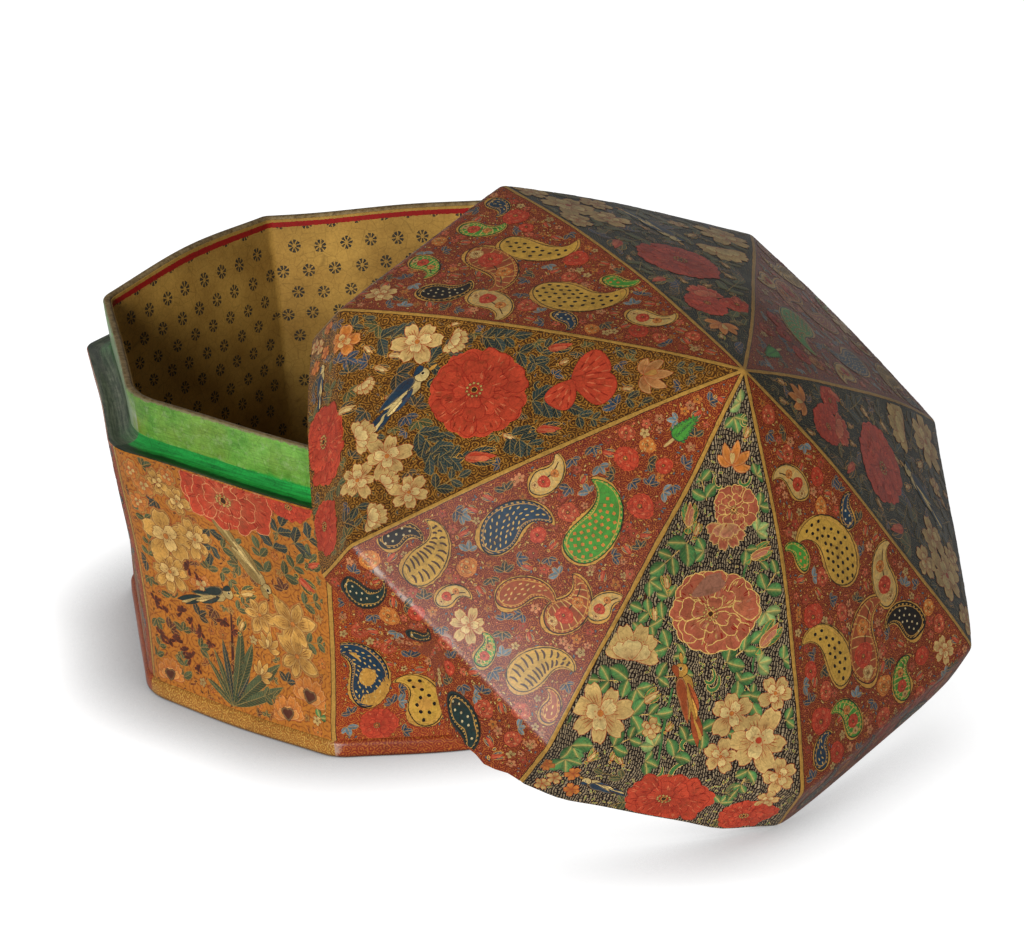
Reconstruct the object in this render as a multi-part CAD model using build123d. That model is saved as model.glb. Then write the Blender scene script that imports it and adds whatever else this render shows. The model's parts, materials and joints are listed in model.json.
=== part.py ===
"""Octagonal papier mache box with a domed lid of eight gores, taken off and leaning on the box.

The box stands upright with its underside at z = 0 and its axis on Z. Its double wall is pasteboard: eight
side boards stop at a ledge, and eight thinner inner boards stand on the floor board and rise past the
ledge as a collar. The lid is eight moulded gores, each curved only from rim to crown, with a short skirt
that stands on the ledge when the box is closed. Here one corner of its rim stands on the floor and the
inside of its crown rests on a corner of the collar. Lengths are millimetres.
"""

import os
from math import cos, hypot, radians, sin, tan

from build123d import *

# Plan: a regular octagon with flats facing X and Y
SIDES = 8
STEP_ANGLE = 360.0 / SIDES
HALF_ANGLE = STEP_ANGLE / 2

# Box
LEDGE_CORNER_RADIUS = 150.0
LEDGE_HEIGHT = 118.0
WALL_LEAN = 5.4  # degrees, the walls open towards the top
WALL_HOLLOW = 1.6  # how far the side boards curve inwards between foot and ledge
LEDGE_WIDTH = 10.8  # across the flat, from the wall's outer edge to the collar
COLLAR_RISE = 22.0
INNER_BOARD = 3.3
FLOOR_BOARD = 6.0
LINING = 0.5
FOOT_BAND_HEIGHT = 7.5
FOOT_BAND_PROUD = 1.4
FOOT_BAND_THICKNESS = 3.0
FOOT_BAND_ROUNDING = 1.3

# Lid, in its own frame: rim at z = 0, apex on the axis
LID_OVERHANG = 0.2  # rim corner beyond the ledge corner
SKIRT_HEADROOM = 2.0  # fold above the collar's rim when the box is closed
SKIRT_HEIGHT = COLLAR_RISE + SKIRT_HEADROOM
SKIRT_FLARE = 2.4  # across the flat, rim beyond fold
CROWN_RISE = 89.0  # apex above the fold
CROWN_BULGE = 5.5  # crown arc over its chord
LID_WALL = 4.5
FOLD_ROUNDING = 6.0
FOLD_ROUNDING_INSIDE = 1.5

# How the lid leans
LEAN_AZIMUTH = -58.0  # degrees, the way the lid's axis leans
LID_TURN = 1.0  # degrees about the lid's own axis, so no side of the rim lies quite level
LID_REACH = 137.0  # from the box's axis to the centre of the lid's rim, on the plan
LEAN_CLEARANCE = 0.3  # between the collar's corner and the lid's lining
LEAN_LIMITS = (15.0, 75.0)  # degrees, where the lean is looked for
EDGE_SAMPLES = 80
HALVINGS = 40


def flat(corner_radius):
    """Distance from the axis to the middle of a side, from the distance to a corner."""
    return corner_radius * cos(radians(HALF_ANGLE))


# Places worked out from the sizes above
RIM_HEIGHT = LEDGE_HEIGHT + COLLAR_RISE
LEDGE_FLAT = flat(LEDGE_CORNER_RADIUS)
LEAN_SLOPE = tan(radians(WALL_LEAN))
FOOT_FLAT = LEDGE_FLAT - (LEDGE_HEIGHT - FOOT_BAND_HEIGHT) * LEAN_SLOPE
BAND_FLAT = FOOT_FLAT + FOOT_BAND_PROUD
LID_RIM_FLAT = flat(LEDGE_CORNER_RADIUS + LID_OVERHANG)
FOLD_FLAT = LID_RIM_FLAT - SKIRT_FLARE
APEX_HEIGHT = SKIRT_HEIGHT + CROWN_RISE
LID_SIZE = 2 * LEDGE_CORNER_RADIUS


def collar_face(z):
    """Radius of the inner boards' outer face at a height: they lean as the walls do."""
    return LEDGE_FLAT - LEDGE_WIDTH - (LEDGE_HEIGHT - z) * LEAN_SLOPE


def octagon(flat_radius):
    """Regular octagon with flats facing X and Y."""
    corner_radius = flat_radius / cos(radians(HALF_ANGLE))
    return RegularPolygon(corner_radius, SIDES, rotation=HALF_ANGLE)


def mitred(profile, low, high):
    """One side of an octagonal ring: a section in XZ drawn out along Y and cut at both mitre planes."""
    run = extrude(Plane.XZ * profile, amount=LEDGE_CORNER_RADIUS, both=True)
    reach = LID_SIZE
    half = reach * tan(radians(HALF_ANGLE))
    wedge = make_face(Polyline((0, 0), (reach, -half), (reach, half), close=True))
    return run & (Pos(0, 0, low) * extrude(wedge, amount=high - low))


def around(name, solid, place=Location()):
    """The same piece on all eight sides, numbered anticlockwise from +X."""
    return {f"{name}_{side + 1}": place * Rot(0, 0, side * STEP_ANGLE) * solid for side in range(SIDES)}


# --- Box ---------------------------------------------------------------------------------------------


def side_board():
    """Outer wall: hollow-curved outside, straight where the inner board is pasted, rebated for the foot band."""
    rebate = BAND_FLAT - FOOT_BAND_THICKNESS
    middle = (FOOT_BAND_HEIGHT + LEDGE_HEIGHT) / 2
    outside = ThreePointArc(
        (FOOT_FLAT, FOOT_BAND_HEIGHT),
        ((FOOT_FLAT + LEDGE_FLAT) / 2 - WALL_HOLLOW, middle),
        (LEDGE_FLAT, LEDGE_HEIGHT),
    )
    rest = Polyline(
        (LEDGE_FLAT, LEDGE_HEIGHT),
        (collar_face(LEDGE_HEIGHT), LEDGE_HEIGHT),
        (collar_face(0), 0),
        (rebate, 0),
        (rebate, FOOT_BAND_HEIGHT),
        (FOOT_FLAT, FOOT_BAND_HEIGHT),
    )
    return mitred(make_face(outside + rest), 0, LEDGE_HEIGHT)


def foot_strip():
    """Band round the foot, rounded on its outer top edge."""
    inner = BAND_FLAT - FOOT_BAND_THICKNESS
    section = make_face(
        Polyline(
            (inner, 0),
            (BAND_FLAT, 0),
            (BAND_FLAT, FOOT_BAND_HEIGHT),
            (inner, FOOT_BAND_HEIGHT),
            close=True,
        )
    )
    rounded = fillet(section.vertices().sort_by(Axis.X)[-2:], FOOT_BAND_ROUNDING)
    return mitred(rounded, 0, FOOT_BAND_HEIGHT)


def leaning_sheet(offset, thickness, low, high):
    """Section of a flat sheet that leans with the wall, its outer face a given way inside the collar face."""
    return make_face(
        Polyline(
            (collar_face(low) - offset, low),
            (collar_face(high) - offset, high),
            (collar_face(high) - offset - thickness, high),
            (collar_face(low) - offset - thickness, low),
            close=True,
        )
    )


def inner_board():
    """Inner wall, which rises past the ledge as the collar that centres the lid."""
    return mitred(leaning_sheet(0, INNER_BOARD, FLOOR_BOARD, RIM_HEIGHT), 0, RIM_HEIGHT)


def lining_sheet():
    """Printed paper on the inner board."""
    return mitred(leaning_sheet(INNER_BOARD, LINING, FLOOR_BOARD, RIM_HEIGHT), 0, RIM_HEIGHT)


def floor_board():
    """Bottom, held between the side boards."""
    bottom = octagon(collar_face(0))
    top = Pos(0, 0, FLOOR_BOARD) * octagon(collar_face(FLOOR_BOARD))
    return loft([bottom, top], ruled=True)


def floor_lining():
    """Printed paper on the floor, inside the lining of the walls."""
    sheet = extrude(octagon(collar_face(FLOOR_BOARD) - INNER_BOARD - LINING), amount=LINING)
    return Pos(0, 0, FLOOR_BOARD) * sheet


# --- Lid ---------------------------------------------------------------------------------------------


def crown_circle():
    """Centre and radius of the arc from fold to apex, in the plane across the flats."""
    chord = hypot(FOLD_FLAT, CROWN_RISE)
    radius = (chord**2 / 4 + CROWN_BULGE**2) / (2 * CROWN_BULGE)
    along = (FOLD_FLAT / chord, -CROWN_RISE / chord)
    outwards = (-along[1], along[0])
    depth = radius - CROWN_BULGE
    centre = (
        FOLD_FLAT / 2 - outwards[0] * depth,
        SKIRT_HEIGHT + CROWN_RISE / 2 - outwards[1] * depth,
    )
    return centre, radius


def under_shell(inset):
    """Everything under the lid's outer surface moved inwards by inset, as a face in the plane across the flats."""
    (centre_r, centre_z), radius = crown_circle()
    disc = Pos(centre_r, centre_z) * Circle(radius - inset)
    slope = SKIRT_FLARE / SKIRT_HEIGHT
    edge = LID_RIM_FLAT - inset * hypot(1, slope)
    under = make_face(
        Polyline(
            (-LID_SIZE, 0),
            (edge, 0),
            (edge - slope * LID_SIZE, LID_SIZE),
            (-LID_SIZE, LID_SIZE),
            close=True,
        )
    )
    both = disc & under
    fold = both.vertices().sort_by(Axis.X)[-2:].sort_by(Axis.Y)[-1]
    return fillet(fold, max(FOLD_ROUNDING - inset, FOLD_ROUNDING_INSIDE))


def gore(outer_inset, inner_inset):
    """One side of the dome and skirt between two depths below the outer surface."""
    return mitred(under_shell(outer_inset) - under_shell(inner_inset), 0, APEX_HEIGHT)


def room_in_lid(radial, height):
    """How far a point lies inside the lid's lining, from its greatest reach across the flats and its height."""
    (centre_r, centre_z), radius = crown_circle()
    depth = LID_WALL + LINING
    to_crown = radius - depth - hypot(radial - centre_r, height - centre_z)
    slope = SKIRT_FLARE / SKIRT_HEIGHT
    to_skirt = (LID_RIM_FLAT - slope * height - radial) / hypot(1, slope) - depth
    return min(to_crown, to_skirt)


def ring_points(flat_radius, height):
    """Points along the eight edges of an octagon at a height, corners included."""
    corner_radius = flat_radius / cos(radians(HALF_ANGLE))
    corners = [
        (corner_radius * cos(radians(a)), corner_radius * sin(radians(a)))
        for a in (HALF_ANGLE + side * STEP_ANGLE for side in range(SIDES + 1))
    ]
    for (x0, y0), (x1, y1) in zip(corners, corners[1:]):
        for n in range(EDGE_SAMPLES):
            t = n / EDGE_SAMPLES
            yield x0 + (x1 - x0) * t, y0 + (y1 - y0) * t, height


def rim_centre_height(lean):
    """Height of the rim's centre when the rim's lowest corner is on the floor."""
    corner = LID_RIM_FLAT / cos(radians(HALF_ANGLE))
    nearest = abs((LEAN_AZIMUTH - LID_TURN) % STEP_ANGLE - HALF_ANGLE)
    return corner * cos(radians(nearest)) * sin(radians(lean))


def lid_room(lean):
    """Least room between the box and the lid's lining at a lean, over the points of the box inside the lid."""
    lean_x, lean_y = cos(radians(LEAN_AZIMUTH)), sin(radians(LEAN_AZIMUTH))
    c, s = cos(radians(lean)), sin(radians(lean))
    rise = rim_centre_height(lean)
    room = LID_SIZE
    for level in ((collar_face(RIM_HEIGHT), RIM_HEIGHT), (LEDGE_FLAT, LEDGE_HEIGHT)):
        for x, y, z in ring_points(*level):
            dx, dy, dz = x - LID_REACH * lean_x, y - LID_REACH * lean_y, z - rise
            out = dx * lean_x + dy * lean_y
            across = dy * lean_x - dx * lean_y
            down, height = c * out - s * dz, s * out + c * dz
            if height < 0:
                continue
            lid_x = down * lean_x - across * lean_y
            lid_y = down * lean_y + across * lean_x
            facing = (radians(side * STEP_ANGLE + LID_TURN) for side in range(SIDES))
            reach = max(lid_x * cos(a) + lid_y * sin(a) for a in facing)
            room = min(room, room_in_lid(reach, height))
    return room


def lid_lean():
    """The lean at which the crown's lining clears the collar's corner by LEAN_CLEARANCE, by halving."""
    low, high = LEAN_LIMITS
    for _ in range(HALVINGS):
        lean = (low + high) / 2
        if lid_room(lean) < LEAN_CLEARANCE:
            low = lean
        else:
            high = lean
    return high


def lid_place():
    """Where the lid's own frame goes: leaned about a level axis through the rim's centre."""
    lean = lid_lean()
    x = LID_REACH * cos(radians(LEAN_AZIMUTH))
    y = LID_REACH * sin(radians(LEAN_AZIMUTH))
    turn = Rot(0, 0, LEAN_AZIMUTH) * Rot(0, lean, 0) * Rot(0, 0, LID_TURN - LEAN_AZIMUTH)
    print(f"lid leans {lean:.3f} degrees, rim centre at {x:.2f}, {y:.2f}, {rim_centre_height(lean):.2f}")
    return Pos(x, y, rim_centre_height(lean)) * turn


# --- All pieces --------------------------------------------------------------------------------------


def pieces():
    """Every piece by name, in place."""
    leaning = lid_place()
    return {
        "floor_board": floor_board(),
        **around("side_board", side_board()),
        **around("foot_strip", foot_strip()),
        **around("inner_board", inner_board()),
        **around("lining_sheet", lining_sheet()),
        "floor_lining": floor_lining(),
        **around("lid_gore", gore(0, LID_WALL), leaning),
        **around("lid_lining", gore(LID_WALL, LID_WALL + LINING), leaning),
    }


if __name__ == "__main__":
    os.makedirs("parts", exist_ok=True)
    for name, solid in pieces().items():
        export_step(solid, f"parts/{name}.step")
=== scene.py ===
"""Octagonal papier mache box with a painted dome lid: surfaces, brush work and varnish over the solids.

Every painted side is one closed slab of pasteboard with its painting laid on it as thin patches of colour.
A patch is placed in the millimetres of its own side: u runs along the side, v runs up its profile.
Lengths are millimetres until a mesh is made, and metres from there on.
"""

import functools
import json
import math

import bpy
import numpy as np
from mathutils import Matrix


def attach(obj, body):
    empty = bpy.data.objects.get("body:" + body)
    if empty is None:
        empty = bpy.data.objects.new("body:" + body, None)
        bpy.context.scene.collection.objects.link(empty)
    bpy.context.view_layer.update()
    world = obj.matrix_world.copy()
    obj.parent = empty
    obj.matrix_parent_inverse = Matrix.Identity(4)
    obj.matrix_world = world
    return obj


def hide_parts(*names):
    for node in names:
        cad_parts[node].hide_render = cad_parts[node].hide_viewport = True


bl_info = {
    "name": "Papier Mache Box",
    "version": (1, 0, 0),
    "blender": (4, 5, 0),
    "location": "View3D > Sidebar > Box",
    "description": "Paints and varnishes an octagonal papier mache box and its dome lid",
    "category": "Object",
}

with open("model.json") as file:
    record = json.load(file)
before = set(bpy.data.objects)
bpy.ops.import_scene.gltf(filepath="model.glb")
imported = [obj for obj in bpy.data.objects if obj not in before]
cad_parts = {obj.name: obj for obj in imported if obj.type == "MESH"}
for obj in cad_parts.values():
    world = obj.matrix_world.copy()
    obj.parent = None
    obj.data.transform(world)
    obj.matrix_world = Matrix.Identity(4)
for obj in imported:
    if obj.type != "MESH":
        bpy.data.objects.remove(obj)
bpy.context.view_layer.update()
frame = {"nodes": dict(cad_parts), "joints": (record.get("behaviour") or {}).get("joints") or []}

MM = 0.001
SIDES = 8
STEP = 2 * math.pi / SIDES
HALF_TAN = math.tan(STEP / 2)


def linear(hex_colour):
    """sRGB hex to linear: each channel through the standard curve."""
    channels = np.array([int(hex_colour[i : i + 2], 16) for i in (1, 3, 5)]) / 255
    return np.where(channels <= 0.04045, channels / 12.92, ((channels + 0.055) / 1.055) ** 2.4)


def rgba(hex_colour):
    """The same colour with full alpha, for a node's socket."""
    return (*linear(hex_colour), 1.0)


# --- Measures of the solids ----------------------------------------------------------------------------


def node_points(name):
    """Corners of a solid's mesh in millimetres."""
    mesh = frame["nodes"][name].data
    points = np.empty(len(mesh.vertices) * 3, np.float32)
    mesh.vertices.foreach_get("co", points)
    return points.reshape(-1, 3).astype(float) / MM


def reach_and_height(name):
    """How far a solid of the side that faces +X reaches, and how high."""
    points = node_points(name)
    return points[:, 0].max(), points[:, 2].max()


def find_lid():
    """Centre of the rim and the lid's own axes: the rim is each gore's lowest ring along the lift."""
    axis = np.array(frame["joints"][0]["axis"], float)
    axis /= np.linalg.norm(axis)
    rims = []
    for side in range(SIDES):
        points = node_points(f"lid_gore_{side + 1}")
        height = points @ axis
        rims.append(points[height < height.min() + 0.05].mean(axis=0))
    centre = np.mean(rims, axis=0)
    ahead = rims[0] - centre
    ahead -= axis * (ahead @ axis)
    ahead /= np.linalg.norm(ahead)
    centre += axis * ((rims[0] - centre) @ axis)
    return centre, np.stack([ahead, np.cross(axis, ahead), axis])


LEDGE_FLAT, LEDGE_HEIGHT = reach_and_height("side_board_1")
BAND_FLAT, BAND_HEIGHT = reach_and_height("foot_strip_1")
RIM_FLAT, RIM_HEIGHT = reach_and_height("inner_board_1")
LID_CENTRE, LID_AXES = find_lid()
_GORE = (node_points("lid_gore_1") - LID_CENTRE) @ LID_AXES.T
LID_FLAT, LID_HEIGHT = _GORE[:, 0].max(), _GORE[:, 2].max()

LEDGE_WIDTH = 10.8
INNER_BOARD = 3.3
FLOOR_BOARD = 6.0
LINING = 0.5
WALL_HOLLOW = 1.6
BAND_PROUD = 1.4
BAND_THICKNESS = 3.0
SKIRT_HEIGHT = 24.0
SKIRT_FLARE = 2.4
CROWN_BULGE = 5.5
LID_WALL = 4.5
FOLD_ROUNDING = 6.0
FOLD_ROUNDING_INSIDE = 1.5
LEDGE_EDGE = 1.0  # rounding of the ledge's outer edge
LEDGE_DISH = 0.7  # how far the ledge is hollow
COVE = 4.2  # rounding of the painted cove at the collar's foot
COVE_REACH = 4.5
BAND_EDGE = 1.2  # rounding of the foot band's lower edge
BAND_SHOULDER = 3.0  # and of its upper one
RIM_EDGE = 1.1  # rounding of the collar's rim, outside
RIM_EDGE_INSIDE = 0.9
BELOW_RIM = 1.2  # how far under the rim the boards' flat faces end

FOOT_FLAT = BAND_FLAT - BAND_PROUD
COLLAR_FOOT_FLAT = LEDGE_FLAT - LEDGE_WIDTH
LEAN = (RIM_FLAT - COLLAR_FOOT_FLAT) / (RIM_HEIGHT - LEDGE_HEIGHT)

# Rounding of the upright corners on the plan, each to the right of its side
WALL_CORNERS = (7.0, 7.0, 7.0, 10.0, 26.0, 5.0, 7.0, 7.0)
BAND_CORNERS = (14.0, 14.0, 14.0, 16.0, 26.0, 16.0, 14.0, 14.0)
COLLAR_CORNERS = (7.0, 7.0, 5.0, 9.0, 38.0, 8.0, 7.0, 7.0)
RIB_CORNER = 1.8
SKIRT_CORNER = 6.0

# Pasted board is uneven: the crown leans off its centre, each lid side bellies out, and the rim is warped
APEX_SHIFT = (1.0, -1.8)
UNEVEN = 0.4
SOFT_FOOT = 12.0  # height over which the box's foot passes from its flat underside into uneven board
STIFF_FLAT = 120.0  # distance from the middle up to which the floor and the linings' foot keep their shape
STIFF_HEIGHT = 60.0  # height up to which they do
WORN_FLAT = 0.05  # the lid's corner that rests on the table is worn flat at this height
BELLY = (3.0, 3.0, 3.0, 3.0, 4.2, 1.0, 6.0, 3.0)
# Warps of the rim, as (side, u, spread, outwards, downwards)
RIM_WARPS = (
    (5, -33.0, 9.0, 1.8, 2.2),
    (5, -4.0, 10.0, -6.0, -6.5),
    (5, 26.0, 12.0, 4.5, 4.5),
    (5, 43.0, 7.0, 3.0, 3.0),
    (6, -40.0, 12.0, 1.0, 1.0),
    (6, 30.0, 12.0, 1.2, 1.0),
)
# Places where the boards swell or lean, as (x, y, z, how wide, how tall, shift x, shift y, shift z)
BOX_SWELLS = (
    (-53.6, -129.4, 2.0, 45.0, 60.0, -3.5, 0.7, 0.0),
    (-91.0, -91.0, 0.0, 45.0, 24.0, -3.4, -3.4, 0.0),
    (-5.0, -129.0, 0.0, 42.0, 24.0, 0.0, -7.0, 0.0),
    (-129.0, 0.0, 0.0, 45.0, 24.0, -0.8, 0.0, 0.0),
    (91.0, -91.0, 0.0, 45.0, 24.0, 2.0, -2.0, 0.0),
    (129.0, 0.0, 0.0, 45.0, 24.0, 2.5, 0.0, 0.0),
    (91.0, 91.0, 0.0, 45.0, 24.0, 2.2, 2.2, 0.0),
    (0.0, 129.0, 0.0, 45.0, 24.0, 0.0, 2.5, 0.0),
    (-91.0, 91.0, 0.0, 45.0, 24.0, -2.0, 2.0, 0.0),
    (-91.0, 91.0, 141.0, 46.0, 14.0, -3.0, 3.0, 4.2),
    (0.0, 129.0, 140.0, 70.0, 16.0, 0.0, 0.5, 2.2),
    (-138.6, 57.4, 112.0, 50.0, 24.0, -3.0, 0.8, 0.0),
    (-119.0, 49.5, 140.0, 35.0, 14.0, -1.2, 0.5, 0.5),
)
LID_SWELLS = (
    (138.8, -57.5, 12.0, 55.0, 60.0, 3.9, 0.5, 0.0),
    (57.5, -138.8, 12.0, 45.0, 40.0, -1.1, -2.4, 0.0),
    (-57.5, 138.8, 24.0, 45.0, 60.0, -3.5, -0.8, 0.0),
    (0.0, 136.0, 24.0, 50.0, 40.0, 0.0, 1.5, 0.5),
    (98.0, -98.0, -4.0, 62.0, 17.0, -1.0, 1.0, 0.0),
    (139.0, -20.0, 12.0, 45.0, 60.0, 2.4, 0.0, 0.0),
)


# --- Shapes by hand ------------------------------------------------------------------------------------


def uneven(points, amount, seed):
    """Slow waves in every direction: three crossed sines of 60 to 130 mm, so pasted board looks hand-laid."""
    rng = np.random.default_rng(seed)
    shift = np.zeros_like(points)
    for wavelength in (131.0, 89.0, 62.0):
        waves = rng.normal(size=(3, 3))
        waves *= 2 * math.pi / wavelength / np.linalg.norm(waves, axis=1, keepdims=True)
        phase = rng.uniform(0, 2 * math.pi, 3)
        shift += np.sin(points @ waves.T + phase) * (wavelength / 131.0)
    return points + shift * amount


def swell(points, swells):
    """Adds up the swells: each is a shift times a bell about one spot, exp of minus the squared distance."""
    shift = np.zeros_like(points)
    for x, y, z, wide, tall, *move in swells:
        away = (points - (x, y, z)) / (wide, wide, tall)
        shift += np.exp(-(away**2).sum(axis=-1))[..., None] * np.array(move)
    return shift


def place_box(points):
    """Box pieces: uneven board, but the underside stays flat on z = 0 and the walls stay inside the solids.

    Low down only the outer boards swell, by their distance from the middle, so the floor keeps its shape.
    """
    moved = uneven(points, UNEVEN, 3)
    grip = np.clip(points[..., 2:] / SOFT_FOOT, 0, 1)
    angle = np.arctan2(points[..., 1], points[..., 0])
    flat = np.hypot(points[..., 0], points[..., 1]) * np.cos(angle - np.round(angle / STEP) * STEP)
    outer = np.clip((flat - STIFF_FLAT) / 7.0, 0, 1)
    outer = np.maximum(outer, np.clip((points[..., 2] - STIFF_HEIGHT) / 30.0, 0, 1))
    return points + (moved - points) * grip + swell(points, BOX_SWELLS) * outer[..., None]


def place_lid(points):
    """Lid pieces: sides that belly out, a warped rim, a crown drawn off centre, then the lid's own axes.

    The belly is a parabola across each side, full at the rim and gone at the apex. A warp is a bell along the
    rim that fades to nothing at the fold.
    """
    points = points.copy()
    height = points[..., 2]
    angle = np.arctan2(points[..., 1], points[..., 0])
    side = np.round(angle / STEP)
    away = angle - side * STEP
    radius = np.hypot(points[..., 0], points[..., 1])
    u = radius * np.sin(away)
    across = u / np.maximum(radius * np.cos(away) * HALF_TAN, 1e-6)
    side = side.astype(int) % SIDES
    skirt = np.clip(1 - height / SKIRT_HEIGHT, 0, 1)
    below_apex = np.clip((LID_HEIGHT - height) / (LID_HEIGHT - SKIRT_HEIGHT), 0, 1)
    out = np.array(BELLY)[side] * (1 - across**2) * (0.35 + 0.65 * skirt) * below_apex
    down = np.zeros_like(out)
    for warped, middle, spread, outwards, downwards in RIM_WARPS:
        bell = (side == warped) * np.exp(-(((u - middle) / spread) ** 2)) * skirt**1.3
        out += outwards * bell
        down += downwards * bell
    points[..., 0] += out * np.cos(side * STEP)
    points[..., 1] += out * np.sin(side * STEP)
    points[..., 2] -= down
    points += swell(points, LID_SWELLS)
    pull = np.clip(height[..., None] / LID_HEIGHT, 0, 1) ** 1.4
    points[..., :2] += pull * np.array(APEX_SHIFT)
    grip = np.clip(height[..., None] / 10.0 + 0.25, 0, 1)
    points += (uneven(points, UNEVEN, 8) - points) * grip
    placed = points @ LID_AXES + LID_CENTRE
    placed[..., 2] = np.maximum(placed[..., 2], WORN_FLAT)
    return placed


def turned(points, side):
    """A point of the side that faces +X, turned to another side."""
    angle = side * STEP
    c, s = math.cos(angle), math.sin(angle)
    x, y, z = points[..., 0], points[..., 1], points[..., 2]
    return np.stack([x * c - y * s, x * s + y * c, z], axis=-1)


def arc(centre, radius, start, end, steps):
    """Points on a circle between two angles, in radians."""
    angles = np.linspace(start, end, steps)
    return np.stack([centre[0] + radius * np.cos(angles), centre[1] + radius * np.sin(angles)], axis=1)


def lid_section(depth):
    """Skirt line, fold arc and crown arc at a depth under the painted surface, as (reach, height) points.

    The crown is a circle through fold and apex with a given bulge. Depth shortens its radius. The fold's
    centre lies one rounding inside both the skirt line and that circle.
    """
    fold_flat = LID_FLAT - SKIRT_FLARE
    rise = LID_HEIGHT - SKIRT_HEIGHT
    chord = math.hypot(fold_flat, rise)
    radius = (chord**2 / 4 + CROWN_BULGE**2) / (2 * CROWN_BULGE)
    cr = fold_flat / 2 - rise / chord * (radius - CROWN_BULGE)
    cz = SKIRT_HEIGHT + rise / 2 - fold_flat / chord * (radius - CROWN_BULGE)
    radius -= depth
    slope = SKIRT_FLARE / SKIRT_HEIGHT
    slant = math.hypot(1, slope)
    edge = LID_FLAT - depth * slant
    rounding = max(FOLD_ROUNDING - depth, FOLD_ROUNDING_INSIDE)
    inner = edge - rounding * slant
    b = -2 * slope * (inner - cr) - 2 * cz
    c = (inner - cr) ** 2 + cz**2 - (radius - rounding) ** 2
    h = (-b + math.sqrt(b * b - 4 * slant**2 * c)) / (2 * slant**2)
    fold = (inner - slope * h, h)
    start, turn = math.atan(slope), math.atan2(fold[1] - cz, fold[0] - cr)
    return np.concatenate(
        [
            [(edge, 0.0)],
            arc(fold, rounding, start, turn, 12),
            arc((cr, cz), radius, turn, math.acos(-cr / radius), 160)[1:],
        ]
    )


def wall_section():
    """Hollow of the side board from band to ledge: a shallow parabola inside the straight line."""
    t = np.linspace(0, 1, 80)
    reach = FOOT_FLAT + (LEDGE_FLAT - FOOT_FLAT) * t - 4 * WALL_HOLLOW * t * (1 - t)
    return np.stack([reach, BAND_HEIGHT + (LEDGE_HEIGHT - BAND_HEIGHT) * t], axis=1)


def lengths(section):
    """Distance along a section from its first point."""
    return np.concatenate([[0], np.cumsum(np.linalg.norm(np.diff(section, axis=0), axis=1))])


def between(run, values, v):
    """The section's values (two to a point), read at the distances v along it."""
    return np.stack([np.interp(v, run, values[:, 0]), np.interp(v, run, values[:, 1])], axis=-1)


def round_corner(reach, corners, s):
    """Plan of one side: straight between its corners and round at them. s is the distance from the middle.

    Past the straight run, s is spent on an arc of the corner's radius, which ends on the mitre. Gives the
    step inwards, the place across, the turn, and the distance left to the mitre.
    """
    radius = np.where(s < 0, corners[..., 0], corners[..., 1])
    run = (reach - radius) * HALF_TAN
    turn = np.clip((np.abs(s) - run) / np.maximum(radius, 1e-6), 0, STEP / 2)
    across = np.sign(s) * (np.minimum(np.abs(s), run) + radius * np.sin(turn))
    return radius * (1 - np.cos(turn)), across, np.sign(s) * turn, run + radius * STEP / 2 - np.abs(s)


class Surface:
    """One side's painted face: a section carried sideways, turned to its side and put in place."""

    def __init__(self, section, start, side, place, corners):
        self.length = lengths(section) + start
        self.section = section
        self.corners = corners
        self.side = side
        self.place = place
        slope = np.gradient(section, self.length, axis=0)
        slope /= np.linalg.norm(slope, axis=1, keepdims=True)
        self.normal = np.stack([slope[:, 1], -slope[:, 0]], axis=1)

    def along(self, v, values):
        """Values of the section's points, at v."""
        return between(self.length, values, v)

    def half(self, v):
        """Half the side's width at v, round its corner to the mitre."""
        reach = self.along(v, self.section)[..., 0]
        radius = self.along(v, self.corners).max(axis=-1)
        return reach * HALF_TAN - radius * (HALF_TAN - STEP / 2)

    def points(self, u, v, lift):
        """Points at (u, v), lifted off the face, and their distance to the mitre."""
        spot = self.along(v, self.section)
        normal = self.along(v, self.normal)
        inwards, across, turn, border = round_corner(spot[:, 0], self.along(v, self.corners), u)
        x = spot[:, 0] - inwards + normal[:, 0] * np.cos(turn) * lift
        y = across + normal[:, 0] * np.sin(turn) * lift
        z = spot[:, 1] + normal[:, 1] * lift
        return self.place(turned(np.stack([x, y, z], axis=-1), self.side)), border


# --- Meshes --------------------------------------------------------------------------------------------


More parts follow.
